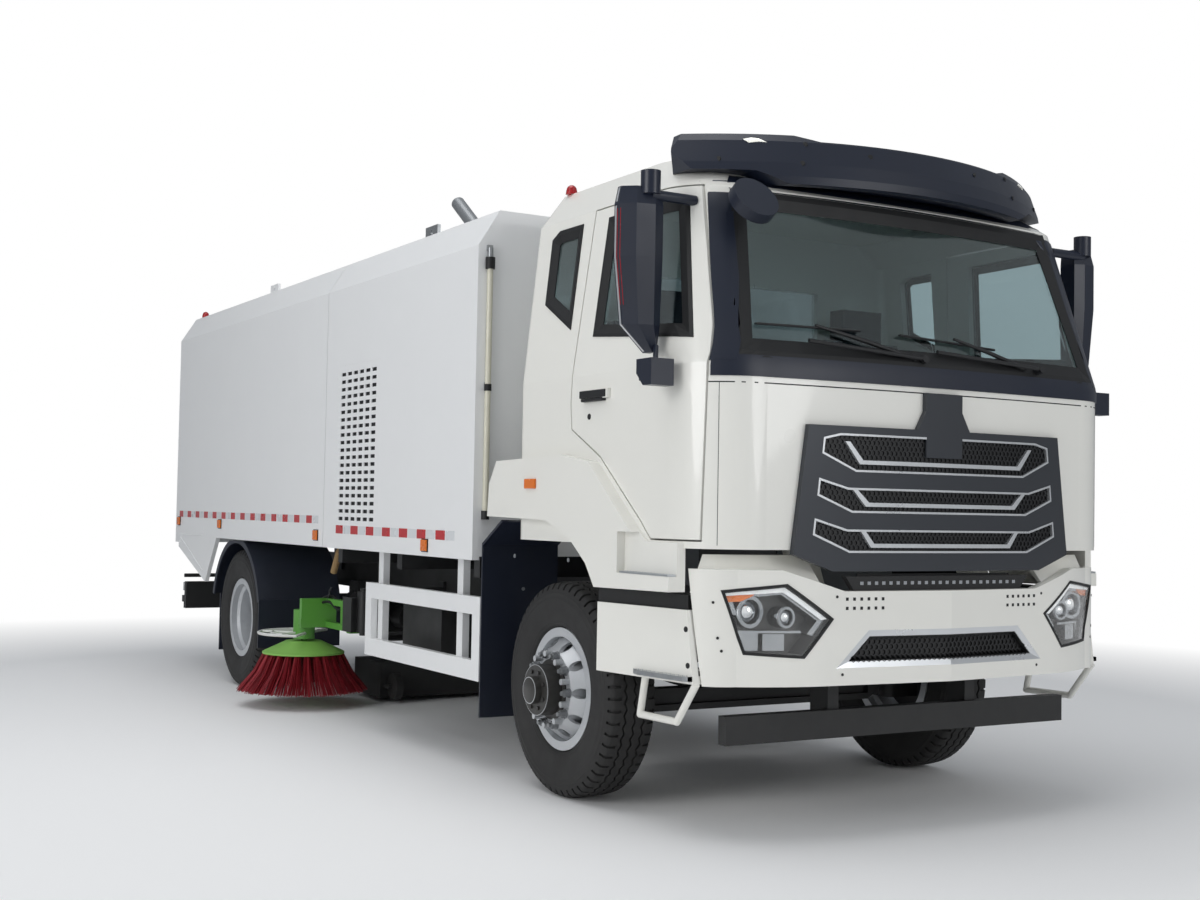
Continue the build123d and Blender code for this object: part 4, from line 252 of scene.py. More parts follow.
# Grey engine enamel over a rough casting.
engine_enamel = surface("grey_cast_iron_enamel", "6E7377", "5C6064", 0.25, (0.5, 0.65), 3.0, 0.2, dust=0.2)
finish(engine_enamel, "engine", "auxiliary_engine")

# Graphite-coloured sprayed plastic with fine metal flake.
graphite = surface("graphite_metallic_plastic", "3C3F45", "33363B", 0.6, (0.34, 0.42), 0.8, 0.01, metallic=0.35,
                   coat=0.3)
finish(graphite, "grille")

# Wheel silver: fine metallic spray on pressed steel.
rim_silver = surface("wheel_silver_paint", "D3D5D8", "C6C9CC", 0.2, (0.32, 0.42), 1.5, 0.02, metallic=0.55,
                     dust=0.12, dust_colour="6E6B66")
finish(rim_silver, "front_rim_left", "front_rim_right", "rear_rims_left", "rear_rims_right")

# Hard chrome on ground steel.
bright_steel = surface("hard_chrome_on_steel", "D5D7DA", "CBCED2", 0.1, (0.1, 0.16), 1.0, 0.004, metallic=1.0)
finish(bright_steel, "lift_rod")

# Rubber: carbon black, matt on the tread and a little brighter on the sides.
tyre_rubber = surface("carbon_black_tyre_rubber", "1A1A1B", "212122", 0.15, (0.6, 0.75), 2.5, 0.12, dust=0.14,
                      dust_colour="6E6B66")
finish(tyre_rubber, "front_tyre_left", "front_tyre_right", "rear_tyres_left", "rear_tyres_right")

# Seat cloth over foam.
seat_cloth = surface("dark_grey_woven_cloth", "2A2D33", "33363C", 0.08, (0.85, 0.95), 1.8, 0.3)
finish(seat_cloth, "seats")

# Green brush paint on steel, and red polypropylene bristles.
brush_green = surface("green_sprayed_steel", "5FA63E", "559A38", 0.25, (0.36, 0.5), 4.0, 0.04, coat=0.2, dust=0.12)
finish(brush_green, "brush_arm_left", "brush_arm_right")
disc_green = surface("light_green_moulded_plastic", "8CC45B", "7FB952", 0.2, (0.4, 0.5), 2.0, 0.03, dust=0.1)
finish(disc_green, "brush_disc_left", "brush_disc_right")
bristle_red = surface("dark_red_polypropylene", "8E1B26", "74131D", 0.05, (0.4, 0.55), 1.0, 0.05)
finish(bristle_red, "brush_bristles_left", "brush_bristles_right")


# Cab glass and lamp glass: toughened panes and moulded lenses with a green-grey or clear tint.
# Each is bonded or clipped into its frame, and lets the light through to what lies behind it.

def clear_pane(name, colour, rough):
    """Glass or clear plastic that lets the light into the cab."""
    material, tree, out = new_material(name)
    place = add_node(tree, "ShaderNodeTexCoord")
    film = add_node(tree, "ShaderNodeTexNoise", {"Scale": 3.0, "Detail": 4.0}, {"Vector": place.outputs["Object"]})
    smear = add_node(tree, "ShaderNodeMapRange", {"To Min": rough, "To Max": rough + 0.03},
                     {"Value": film.outputs["Fac"]})
    pane = add_node(tree, "ShaderNodeBsdfPrincipled",
                    {"Base Color": linear(colour), "Transmission Weight": 1.0, "IOR": 1.5},
                    {"Roughness": smear.outputs["Result"]})
    clear = add_node(tree, "ShaderNodeBsdfTransparent", {"Color": linear(colour)})
    path = add_node(tree, "ShaderNodeLightPath")
    mixed = add_node(tree, "ShaderNodeMixShader", {},
                     {0: path.outputs["Is Shadow Ray"], 1: pane.outputs[0], 2: clear.outputs[0]})
    tree.links.new(mixed.outputs[0], out.inputs["Surface"])
    return material


# Laminated glass: grey-green tint, a faint film of dust that softens its mirror.
cab_glass = clear_pane("tinted_laminated_glass", "B4C3C6", 0.0)
finish(cab_glass, "cab_glass", "door_glass_left", "door_glass_right")

# Clear moulded polycarbonate: nearly colourless, with a sharp mirror.
lamp_lens = clear_pane("clear_polycarbonate", "FBFCFC", 0.0)


# Tyres: radial truck tyres, 1010 mm over the tread, moulded in one piece with three zigzag grooves,
# cross notches at the shoulders and fine rings on the sidewalls. The beads sit on the rims' seats.

def link_piece(name, mesh, body, material, replaced=()):
    """Makes a finished piece of a bmesh: merged, normals outward, on its body and in its material."""
    bmesh.ops.remove_doubles(mesh, verts=mesh.verts, dist=0.00005)
    bmesh.ops.recalc_face_normals(mesh, faces=mesh.faces)
    data = bpy.data.meshes.new(name)
    mesh.to_mesh(data)
    mesh.free()
    piece = bpy.data.objects.new(name, data)
    bpy.context.scene.collection.objects.link(piece)
    data.materials.append(material)
    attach(piece, body)
    if replaced:
        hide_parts(*replaced)
    return piece


def smooth(piece, angle=30):
    """Rounds the shading over edges that turn less than this many degrees."""
    piece.data.shade_smooth()
    sharp = math.radians(angle)
    mesh = bmesh.new()
    mesh.from_mesh(piece.data)
    for edge in mesh.edges:
        edge.smooth = len(edge.link_faces) == 2 and edge.calc_face_angle(0) < sharp
    mesh.to_mesh(piece.data)
    mesh.free()
    return piece


tyre_radius = 0.505
pitch_count = 56
steps_per_pitch = 4
groove_depth = 0.013
groove_lip, groove_floor, groove_fall = 0.0055, 0.0035, 0.0016
groove_places = (-0.048, 0.0, 0.048)
zigzag, zigzag_radius, zigzag_half = 0.006, 0.485, 0.06
notch_radius, notch_from, notch_to, notch_rim, notch_depth = 0.476, 0.068, 0.125, 0.0012, 0.011
# Outer half of the section, columns: radius, distance from the middle plane
sidewall = [
    (0.2545, 0.078), (0.2545, 0.0955), (0.288, 0.0958), (0.292, 0.1000), (0.296, 0.1090), (0.305, 0.1150),
    (0.312, 0.1165), (0.314, 0.1185), (0.318, 0.1185), (0.320, 0.1190), (0.345, 0.1250), (0.380, 0.1290),
    (0.415, 0.1300), (0.418, 0.1312), (0.424, 0.1312), (0.427, 0.1300), (0.443, 0.1280), (0.446, 0.1290),
    (0.450, 0.1285), (0.453, 0.1262), (0.468, 0.1228), (0.488, 0.1130), (0.4945, 0.1065),
]
tread = [(0.4990, 0.0990), (0.5025, 0.0700)]
for place in reversed(groove_places[1:]):
    lip = tyre_radius - groove_fall * (place / groove_places[2])
    tread += [(lip, place + groove_lip), (lip - groove_depth, place + groove_floor)]
    if place > 0:
        tread += [(lip - groove_depth, place - groove_floor), (lip, place - groove_lip), (0.5050, 0.024)]


def tyre(centre):
    """One tyre round the Y axis at this centre."""
    mesh = bmesh.new()
    half = sidewall + tread
    section = half + [(r, -y) for r, y in reversed(half)]
    corners = [mesh.verts.new((centre[0] + r, centre[1] + y, centre[2])) for r, y in section]
    loop = [mesh.edges.new(pair) for pair in zip(corners, corners[1:] + corners[:1])]
    bmesh.ops.spin(mesh, geom=corners + loop, cent=centre, axis=(0, 1, 0), angle=math.tau,
                   steps=pitch_count * steps_per_pitch, use_merge=True)
    bmesh.ops.recalc_face_normals(mesh, faces=mesh.faces)
    step = math.tau / (pitch_count * steps_per_pitch)
    for corner in mesh.verts:
        out_x, out_z = corner.co.x - centre[0], corner.co.z - centre[2]
        across = corner.co.y - centre[1]
        turn = round(math.atan2(out_z, out_x) / step) % steps_per_pitch
        if math.hypot(out_x, out_z) > zigzag_radius and abs(across) < zigzag_half:
            corner.co.y += zigzag * (0, 1, 0, -1)[turn]
    notches = []
    for face in mesh.faces:
        middle = face.calc_center_median() - Vector(centre)
        turn = math.floor(math.atan2(middle.z, middle.x) / step) % steps_per_pitch
        radius = math.hypot(middle.x, middle.z)
        if turn == 0 and radius > notch_radius and notch_from < abs(middle.y) < notch_to:
            notches.append(face)
    bmesh.ops.inset_region(mesh, faces=notches, thickness=notch_rim, depth=-notch_depth, use_even_offset=True)
    return mesh


front_wheel_y, rear_wheel_y, twin_spacing = 1.02, 1.08, 0.30
rear_axle = front_axle - 4.77
# Columns: name, x, sides' distances from the middle, body, CAD node
tyre_sets = [
    ("front_tyre", front_axle, (front_wheel_y,), "front_wheel", "front_tyre"),
    ("rear_tyres", rear_axle, (rear_wheel_y, rear_wheel_y - twin_spacing), "rear_wheels", "rear_tyres"),
]
for name, x, places, body, node in tyre_sets:
    for side, sign in (("left", 1), ("right", -1)):
        whole = bpy.data.meshes.new("joined")
        joined = bmesh.new()
        for place in places:
            one = tyre((x, sign * place, tyre_radius))
            one.to_mesh(whole)
            joined.from_mesh(whole)
            one.free()
        bpy.data.meshes.remove(whole)
        smooth(link_piece(f"{name}_{side}_moulded", joined, f"{body}_{side}", tyre_rubber,
                          (f"{node}_{side}",)), 34)


# Trims laid on the cab's skin: rubber seals round the panes, pillar covers, cowl and lid joints.
# They are extruded rubber or separate mouldings that follow the sprayed panels under them, so each
# is a thin closed strip set on the nearest skin.

def skin_of(*names):
    """The joined surface of CAD nodes, for trims to lie on."""
    points, faces = [], []
    for name in names:
        start = len(points)
        points += [nodes[name].matrix_world @ corner.co for corner in nodes[name].data.vertices]
        faces += [[start + index for index in face.vertices] for face in nodes[name].data.polygons]
    return BVHTree.FromPolygons(points, faces)


sight = 0.35
rim_share = 0.12


def laid(skin, point, outward, lift):
    """The skin's spot seen from outside through the point, moved outward by lift."""
    far = Vector(point) + outward * sight
    hit = skin.ray_cast(far, -outward, 2 * sight)[0]
    return (hit or skin.find_nearest(Vector(point))[0]) + outward * lift


def rails(mesh, lines, closed=False):
    """A closed skin over lines that run side by side round a strip's section."""
    grid = [[mesh.verts.new(point) for point in line] for line in lines]
    count = len(lines[0])
    spans = range(count if closed else count - 1)
    for line, following in zip(grid, grid[1:] + grid[:1]):
        for index in spans:
            after = (index + 1) % count
            mesh.faces.new((line[index], line[after], following[after], following[index]))
    if not closed:
        mesh.faces.new([line[0] for line in grid])
        mesh.faces.new([line[-1] for line in reversed(grid)])


def dense(points, step, closed=False):
    """A polyline with its long spans divided."""
    ends = points[1:] + points[:1] if closed else points[1:]
    line = []
    for start, end in zip(points, ends):
        start, end = Vector(start), Vector(end)
        count = max(1, math.ceil((end - start).length / step))
        line += [start.lerp(end, index / count) for index in range(count)]
    return line if closed else line + [Vector(points[-1])]


def sheet(mesh, skins, first, last, aim, lift, depth, across=1, closed=False):
    """A thin cover laid between two lines of equal length; skins are those of its first and other rows."""
    top, low = [], []
    for row in range(across + 1):
        skin = skins[0] if row == 0 else skins[-1]
        line = [start.lerp(end, row / across) for start, end in zip(first, last)]
        top.append([laid(skin, point, aim(point), lift) for point in line])
        low.append([laid(skin, point, aim(point), -depth) for point in line])
    rails(mesh, top + low[::-1], closed)


def grown(points, amount):
    """A closed outline moved outward in its own plane, corner by corner."""
    area = sum(a[0] * b[1] - b[0] * a[1] for a, b in zip(points, points[1:] + points[:1]))
    turn = 1 if area > 0 else -1
    moved = []
    for before, corner, after in zip(points[-1:] + points[:-1], points, points[1:] + points[:1]):
        one = (Vector(corner) - Vector(before)).normalized()
        two = (Vector(after) - Vector(corner)).normalized()
        bisector = Vector((one.y + two.y, -one.x - two.x)) * turn
        moved.append(Vector(corner) + bisector * (2 * amount / bisector.length_squared))
    return moved


def ring(mesh, skins, outline, outer, inner, plane, aim, lift, depth, step=0.06):
    """A seal round a closed outline: its outer half lies on the panel's skin, its inner half on the pane's."""
    corners = [[plane(*corner) for corner in grown(outline, amount)]
               for amount in (outer, rim_share * outer, inner)]
    top, low = [], []
    for line, skin in zip(corners, (skins[0], skins[0], skins[-1])):
        spots = []
        for index in range(len(outline)):
            after = (index + 1) % len(outline)
            count = max(1, math.ceil((corners[0][after] - corners[0][index]).length / step))
            spots += [line[index].lerp(line[after], part / count) for part in range(count)]
        top.append([laid(skin, point, aim(point), lift) for point in spots])
        low.append([laid(skin, point, aim(point), -depth) for point in spots])
    rails(mesh, top + low[::-1], True)


def side_plane(side, reach):
    """Turns (x, z) in front-axle measure into a point at the vehicle's side."""
    return lambda x, z: Vector((front_axle + x, side * reach, z))


def nose_plane(reach):
    """Turns (y, z) into a point this far ahead of the front axle."""
    return lambda y, z: Vector((front_axle + reach, y, z))


def toward(*direction):
    """An aim that is the same at every point."""
    unit = Vector(direction).normalized()
    return lambda point: unit


def picked(line, count):
    """This many points of a line, evenly chosen from its first to its last."""
    return [line[round(index * (len(line) - 1) / (count - 1))] for index in range(count)]


def box(mesh, x, y, z):
    """A block between two values on each axis."""
    size = (abs(x[1] - x[0]), abs(y[1] - y[0]), abs(z[1] - z[0]))
    middle = ((x[0] + x[1]) / 2, (y[0] + y[1]) / 2, (z[0] + z[1]) / 2)
    bmesh.ops.create_cube(mesh, size=1.0, matrix=Matrix.Translation(middle) @ Matrix.Diagonal((*size, 1)))


def bar(mesh, path, radius, sides=10):
    """A round bar, hose or wire along a path; radius is one number or one for each point."""
    path = [Vector(point) for point in path]
    radii = radius if isinstance(radius, (list, tuple)) else [radius] * len(path)
    across = None
    grid = []
    for index, point in enumerate(path):
        before, after = path[max(index - 1, 0)], path[min(index + 1, len(path) - 1)]
        along = (after - before).normalized()
        if across is None:
            across = along.orthogonal().normalized()
        across = (across - along * across.dot(along)).normalized()
        second = along.cross(across)
        turns = [math.tau * k / sides for k in range(sides)]
        grid.append([mesh.verts.new(point + (across * math.cos(turn) + second * math.sin(turn)) * radii[index])
                     for turn in turns])
    for loop, following in zip(grid, grid[1:]):
        for k in range(sides):
            after = (k + 1) % sides
            mesh.faces.new((loop[k], loop[after], following[after], following[k]))
    mesh.faces.new(grid[0][::-1])
    mesh.faces.new(grid[-1])


def curve(points, count=8):
    """A smooth line through the points, for hoses and bent bars."""
    points = [Vector(point) for point in points]
    ends = [points[0] * 2 - points[1]] + points + [points[-1] * 2 - points[-2]]
    line = []
    for a, b, c, d in zip(ends, ends[1:], ends[2:], ends[3:]):
        for index in range(count):
            t = index / count
            square = (2 * a - 5 * b + 4 * c - d) * t * t
            cube = (3 * b - a - 3 * c + d) * t ** 3
            line.append(0.5 * (2 * b + (c - a) * t + square + cube))
    return line + [points[-1]]


def drum(mesh, centre, axis, radius, length, sides=24, second_radius=None):
    """A cylinder or cone that starts at centre and runs along axis."""
    axis = Vector(axis).normalized()
    turn = axis.to_track_quat("Z", "Y").to_matrix().to_4x4()
    place = Matrix.Translation(Vector(centre) + axis * length / 2) @ turn
    bmesh.ops.create_cone(mesh, cap_ends=True, segments=sides, radius1=radius,
                          radius2=radius if second_radius is None else second_radius, depth=length, matrix=place)


def turned(mesh, profile, centre, axis_y, steps=40):
    """A round piece on the Y axis from (radius, offset) pairs; axis_y is the side it faces."""
    points = [mesh.verts.new((centre[0] + r, centre[1] + axis_y * y, centre[2])) for r, y in profile]
    loop = [mesh.edges.new(pair) for pair in zip(points, points[1:] + points[:1])]
    bmesh.ops.spin(mesh, geom=points + loop, cent=centre, axis=(0, 1, 0), angle=math.tau, steps=steps,
                   use_merge=True)


sides = (("left", 1), ("right", -1))
shell_skin = skin_of("cab_shell")
glass_skin = skin_of("cab_glass")
cab_core = Vector((front_axle + 0.6, 0, 0))


def from_core(point):
    """The level direction from the cab's middle out to a point near its nose."""
    return Vector((point.x - cab_core.x, point.y, 0)).normalized()


# Seals: extruded black rubber, half on the panel and half on the pane.
seal_rubber = surface("black_extruded_rubber", "0E0F11", "141517", 0.2, (0.5, 0.62), 1.5, 0.03, dust=0.03)
# Window outlines from the front axle, as (x, z) at the sides and (y, z) at the front
door_window = [(0.365, 2.150), (0.392, 2.665), (0.945, 2.668), (1.095, 2.085)]
quarter_window = [(-0.131, 2.347), (-0.131, 2.640), (-0.080, 2.667), (0.118, 2.667), (0.108, 2.222)]
windscreen = [(-1.010, 2.015), (1.010, 2.015), (0.905, 2.690), (-0.905, 2.690)]
# How far each seal lies over its panel and over its pane
door_seal, quarter_seal, windscreen_seal = (0.017, -0.040), (0.022, -0.036), (0.030, -0.050)
seal_lift, seal_depth = 0.004, 0.002
window_side, windscreen_reach = 1.15, 1.30
cab_seals = bmesh.new()
for name, side in sides:
    mesh = bmesh.new()
    ring(mesh, (skin_of(f"door_{name}"), skin_of(f"door_glass_{name}")), door_window, *door_seal,
         side_plane(side, window_side), toward(0, side, 0), seal_lift, seal_depth)
    link_piece(f"door_window_seal_{name}", mesh, f"door_{name}", seal_rubber)
    ring(cab_seals, (shell_skin, glass_skin), quarter_window, *quarter_seal,
         side_plane(side, window_side), toward(0, side, 0), seal_lift, seal_depth)
ring(cab_seals, (shell_skin, glass_skin), windscreen, *windscreen_seal,
     nose_plane(windscreen_reach), toward(1, 0, 0), seal_lift, seal_depth)
link_piece("cab_window_seals", cab_seals, "cab", seal_rubber)

# Pillar covers and cowl: blue-black mouldings clipped over the corner of the sprayed shell.
pillar_inner = [(3.89, 1.040, 1.972), (3.86, 0.985, 2.36), (3.70, 0.925, 2.765)]
pillar_outer = [(3.822, 1.14, 1.972), (3.812, 1.13, 2.12), (3.640, 1.08, 2.765)]
pillar_lift, header_lift, cowl_lift, cover_depth = 0.006, 0.005, 0.007, 0.002
header_half = 0.925
header_rows = ((3.66, 2.722), (3.60, 2.800))
half_cowl = [(3.822, 1.12), (3.87, 1.06), (3.92, 0.98), (3.955, 0.86), (3.985, 0.50), (3.995, 0.0)]
cowl_heights = (1.993, 1.905)
cover_step, cowl_step = 0.08, 0.05
covers = bmesh.new()
for name, side in sides:
    inner_line = dense([(x, side * y, z) for x, y, z in pillar_inner], cover_step)
    outer_line = dense([(x, side * y, z) for x, y, z in pillar_outer], cover_step)
    outer_line = picked(outer_line, len(inner_line))
    sheet(covers, (shell_skin,), inner_line, outer_line, from_core, pillar_lift, cover_depth, 8)
header_low, header_top = [dense([(x, -header_half, z), (x, header_half, z)], cover_step) for x, z in header_rows]
sheet(covers, (shell_skin,), header_low, header_top, from_core, header_lift, cover_depth, 2)
cowl_path = [(x, -y) for x, y in half_cowl] + [(x, y) for x, y in reversed(half_cowl[:-1])]
cowl_top, cowl_low = [dense([(x, y, z) for x, y in cowl_path], cowl_step) for z in cowl_heights]
sheet(covers, (shell_skin,), cowl_top, cowl_low, from_core, cowl_lift, cover_depth, 2)
smooth(link_piece("pillar_covers", covers, "cab", dark_trim), 40)

# Panel joints on the nose: the lift-up front lid's shut lines, dark where they fall into shade.
shade_gap = surface("shaded_panel_joint", "1A1A1B", "222223", 0.2, (0.7, 0.8), 2.0, 0.02)
lid_top, lid_low = 1.882, 1.215
lid_corner = [(3.81, -1.13), (3.875, -1.05), (3.92, -0.97), (3.955, -0.86), (3.985, -0.5), (3.995, 0)]
lid_side = (3.842, -1.09)
joint_lift, joint_depth = 0.0008, 0.002
joints = bmesh.new()
# Columns: path, how far its second edge lies from the first on the left side
lid_edges = [
    ([(x, y, lid_top) for x, y in lid_corner], (0, 0, -0.005)),
    ([(*lid_side, lid_top), (*lid_side, lid_low)], (0.004, -0.003, 0)),
]
for path, (shift_x, shift_y, shift_z) in lid_edges:
    for side in (1, -1):
        line = dense([(x, side * y, z) for x, y, z in path], cowl_step)
        following = [point + Vector((shift_x, side * shift_y, shift_z)) for point in line]
        sheet(joints, (shell_skin,), line, following, from_core, joint_lift, joint_depth)
link_piece("front_lid_joints", joints, "cab", shade_gap)


# Grille: a graphite moulding with satin borders and bars, and slots closed by black honeycomb.
# The borders, bars and the slots' floors are the CAD's. The honeycomb is a fine moulded insert that
# is clipped in from behind, here as hexagon rims standing off that floor.

# Black moulded plastic has a soft gloss, and satin plating mirrors only broad light.
# The same black also paints the shade on the sheets behind the bumper's strip and beside the engine.
honeycomb_and_shade_black = surface("black_honeycomb_plastic_and_painted_shade", "0D0E10", "15161A", 0.2, (0.4, 0.5), 1.2, 0.03)
bright_trim = surface("satin_chrome_on_plastic", "E0E2E4", "D2D5D8", 0.2, (0.26, 0.36), 1.0, 0.004, metallic=0.7,
                      coat=0.3)
finish(honeycomb_and_shade_black, "grille_mesh")
finish(bright_trim, "grille_trim")
# Half slots, columns: outer y, its top z and low z, floor y, z, inner y, z
slot_rows = [
    (0.650, 1.669, 1.601, 0.485, 1.528, 0.565, 1.688),
    (0.672, 1.500, 1.426, 0.503, 1.357, 0.522, 1.462),
    (0.692, 1.333, 1.263, 0.515, 1.190, 0.526, 1.288),
]
slot_reach = 1.38
slot_cell, slot_web, slot_lift = 0.024, 0.003, 0.005


def inside(outline, u, v):
    """Whether a point lies in an outline."""
    found = False
    for (u0, v0), (u1, v1) in zip(outline, outline[1:] + outline[:1]):
        if (v0 > v) != (v1 > v) and u < u0 + (u1 - u0) * (v - v0) / (v1 - v0):
            found = not found
    return found


def honeycomb(mesh, skin, outline, pitch, web, lift, aim, plane):
    """Hexagon rims standing off a skin, for each cell whose middle lies in the outline."""
    row_step = pitch * math.sqrt(0.75)
    corner = pitch / math.sqrt(3)
    left, right = min(u for u, v in outline), max(u for u, v in outline)
    low, high = min(v for u, v in outline), max(v for u, v in outline)
    for row in range(int((high - low) / row_step) + 2):
        for column in range(int((right - left) / pitch) + 2):
            u = left + (column + 0.5 * (row % 2)) * pitch
            v = low + row * row_step
            if not inside(outline, u, v):
                continue
            rings = []
            for radius, height in ((corner, lift), (corner - web, lift), (corner - web, 0.0)):
                angles = [math.tau * (k + 0.5) / 6 for k in range(6)]
                spots = [plane(u + radius * math.cos(a), v + radius * math.sin(a)) for a in angles]
                rings.append([mesh.verts.new(laid(skin, spot, aim, height)) for spot in spots])
            for near, far in zip(rings, rings[1:]):
                for k in range(6):
                    after = (k + 1) % 6
                    mesh.faces.new((near[k], near[after], far[after], far[k]))


comb = bmesh.new()
mesh_skin = skin_of("grille_mesh")
for outer_y, outer_top, outer_low, floor_y, floor_z, inner_y, inner_top in slot_rows:
    half = [(inner_y, inner_top), (outer_y, outer_top), (outer_y, outer_low), (floor_y, floor_z)]
    whole = half + [(-y, z) for y, z in reversed(half)]
    honeycomb(comb, mesh_skin, whole, slot_cell, slot_web, slot_lift, Vector((1, 0, 0)), nose_plane(slot_reach))
link_piece("grille_honeycomb", comb, "cab", honeycomb_and_shade_black)


# Wipers: two black pressed steel arms on spindles in the cowl, each with a long rubber blade.
# The arm rises from its spindle, bends down at the knuckle and presses the blade on the windscreen.

# Powder-coated steel and rubber: black with a dull sheen.
wiper_black = surface("black_coated_wiper_steel", "101114", "17181B", 0.2, (0.4, 0.52), 1.5, 0.02)
windscreen_skin = skin_of("cab_glass", "cab_shell")
# Columns: pivot y, z, knuckle y, z, blade ends y, z
wiper_sets = [
    ((-0.140, 2.030), (-0.640, 2.140), (-0.930, 2.128), (-0.410, 2.132)),
    ((0.535, 2.030), (0.120, 2.135), (-0.190, 2.130), (0.370, 2.104)),
]
glass_reach = 1.20
arm_lifts, arm_radii = (0.016, 0.030, 0.020), [0.013, 0.010, 0.007]
spindle_lift, spindle_radius, spindle_length = 0.004, 0.018, 0.020
# Rubber lip and the steel back over it, columns: lift, radius
blade_layers = ((0.006, 0.0045), (0.015, 0.006))
blade_parts = 8


def on_glass(spot, lift):
    """A point over the windscreen from (y, z)."""
    return laid(windscreen_skin, nose_plane(glass_reach)(*spot), Vector((1, 0, 0)), lift)


wipers = bmesh.new()
for pivot, knuckle, (start_y, start_z), (end_y, end_z) in wiper_sets:
    arm_middle = ((pivot[0] + knuckle[0]) / 2, (pivot[1] + knuckle[1]) / 2)
    bar(wipers, [on_glass(spot, lift) for spot, lift in zip((pivot, arm_middle, knuckle), arm_lifts)], arm_radii, 8)
    drum(wipers, on_glass(pivot, spindle_lift), (1, 0, 0.3), spindle_radius, spindle_length, 16)
    for lift, radius in blade_layers:
        shares = [part / blade_parts for part in range(blade_parts + 1)]
        spots = [(start_y + (end_y - start_y) * share, start_z + (end_z - start_z) * share) for share in shares]
        bar(wipers, [on_glass(spot, lift) for spot in spots], radius, 6)
smooth(link_piece("wiper_arms_and_blades", wipers, "cab", wiper_black), 50)


# Roof marker lamps: small red domes on the cab's rear corners and the hopper's tail corners.
# Each is a moulded lens that is screwed down on a round foot of the same plastic.

# Coloured clear plastic: deep red under a glossy skin.
red_cap = surface("red_moulded_lens", "B3141B", "9C1017", 0.05, (0.2, 0.3), 2.0, 0.05, coat=0.5)
roof_height = 2.80
dome_foot, dome_neck, dome_foot_height, dome_radius = 0.030, 0.027, 0.022, 0.026
# Columns: label and body, CAD node, x, y
dome_sets = [("cab", "cab_shell", 2.382, 0.980), ("hopper", "hopper", -3.595, 1.110)]
for label, node, x, y in dome_sets:
    domes = bmesh.new()
    for side in (1, -1):
        spot = laid(skin_of(node), Vector((x, side * y, roof_height)), Vector((0, 0, 1)), 0.0)
        drum(domes, spot, (0, 0, 1), dome_foot, dome_foot_height, 20, dome_neck)
        place = Matrix.Translation(spot + Vector((0, 0, dome_foot_height)))
        bmesh.ops.create_uvsphere(domes, u_segments=20, v_segments=8, radius=dome_radius, matrix=place)
    smooth(link_piece(f"roof_marker_domes_{label}", domes, label, red_cap), 50)


# Front lamps: two projectors, plated reflectors and a light band behind one clear moulded lens.
# An amber indicator fills the top outer corner, and a black gasket seals the unit to the bumper. The
# reflectors and the lamp's black body are the CAD's.

# Moulded plastics: a glossy black bezel, an amber lens and a milky light guide, all smooth.
lamp_black = surface("black_lamp_bezel", "0F1012", "17181B", 0.2, (0.3, 0.4), 1.0, 0.01, coat=0.3)
finish(lamp_black, "headlamps")
amber_cap = surface("amber_moulded_lens", "E9791A", "D96A12", 0.05, (0.2, 0.3), 2.0, 0.05, coat=0.5)
band_white = surface("white_light_guide", "F6F7F8", "EEF0F2", 0.1, (0.2, 0.3), 1.0, 0.004, coat=0.5)
# Vacuum-plated plastic: a near mirror, bright on the projectors and smoked on the reflectors.
mirror_silver = surface("vacuum_plated_reflector", "E4E6E8", "D8DADD", 0.1, (0.06, 0.12), 1.0, 0.004, metallic=1.0)
lamp_chrome = surface("smoked_plated_reflector", "A3A6AA", "8E9296", 0.03, (0.12, 0.2), 1.0, 0.004, metallic=1.0)
finish(lamp_chrome, "lamp_units")
# Bumper's plan arcs, each by three points (x, y) from the front axle
bumper_arcs = [((1.100, 1.160), (1.200, 1.108), (1.250, 1.010)), ((1.250, 1.010), (1.330, 0.820), (1.368, 0.610))]
bumper_nose = (1.420, 0.0)


def bumper_x(y):
    """How far forward the bumper's face lies at this distance from the middle."""
    y = abs(y)
    if y < bumper_arcs[1][2][1]:
        x1, y1 = bumper_arcs[1][2]
        return x1 + (bumper_nose[0] - x1) * (y1 - y) / y1
    a, b, c = bumper_arcs[0] if y > bumper_arcs[0][2][1] else bumper_arcs[1]
    d = 2 * (a[0] * (b[1] - c[1]) + b[0] * (c[1] - a[1]) + c[0] * (a[1] - b[1]))
    squares = [p[0] ** 2 + p[1] ** 2 for p in (a, b, c)]
    centre_x = (squares[0] * (b[1] - c[1]) + squares[1] * (c[1] - a[1]) + squares[2] * (a[1] - b[1])) / d
    centre_y = (squares[0] * (c[0] - b[0]) + squares[1] * (a[0] - c[0]) + squares[2] * (b[0] - a[0])) / d
    radius = math.hypot(a[0] - centre_x, a[1] - centre_y)
    return centre_x + math.sqrt(max(radius ** 2 - (y - centre_y) ** 2, 0))


def face_line(points, inset, side):
    """Points on the bumper's face from (y, z) pairs."""
    return [Vector((front_axle + bumper_x(y) - inset, side * y, z)) for y, z in points]


def divided(corners, parts, closed=False):
    """An outline's corners with each span cut in equal parts."""
    ends = corners[1:] + corners[:1] if closed else corners[1:]
    line = [tuple(Vector(a).lerp(Vector(b), part / parts)) for a, b in zip(corners, ends) for part in range(parts)]
    return line if closed else line + [corners[-1]]


# Outlines on the bumper's face, as (y, z)
lamp_outline = [(1.066, 1.029), (0.820, 1.056), (0.616, 0.918), (0.745, 0.766), (0.982, 0.782)]
signal_rows = [[(1.052, 1.018), (0.985, 1.026), (0.925, 1.030)], [(1.044, 0.985), (0.985, 0.989), (0.940, 1.012)]]
band_rows = [[(1.057, 1.022), (0.822, 1.048), (0.628, 0.919)], [(1.050, 1.0115), (0.828, 1.028), (0.660, 0.915)]]
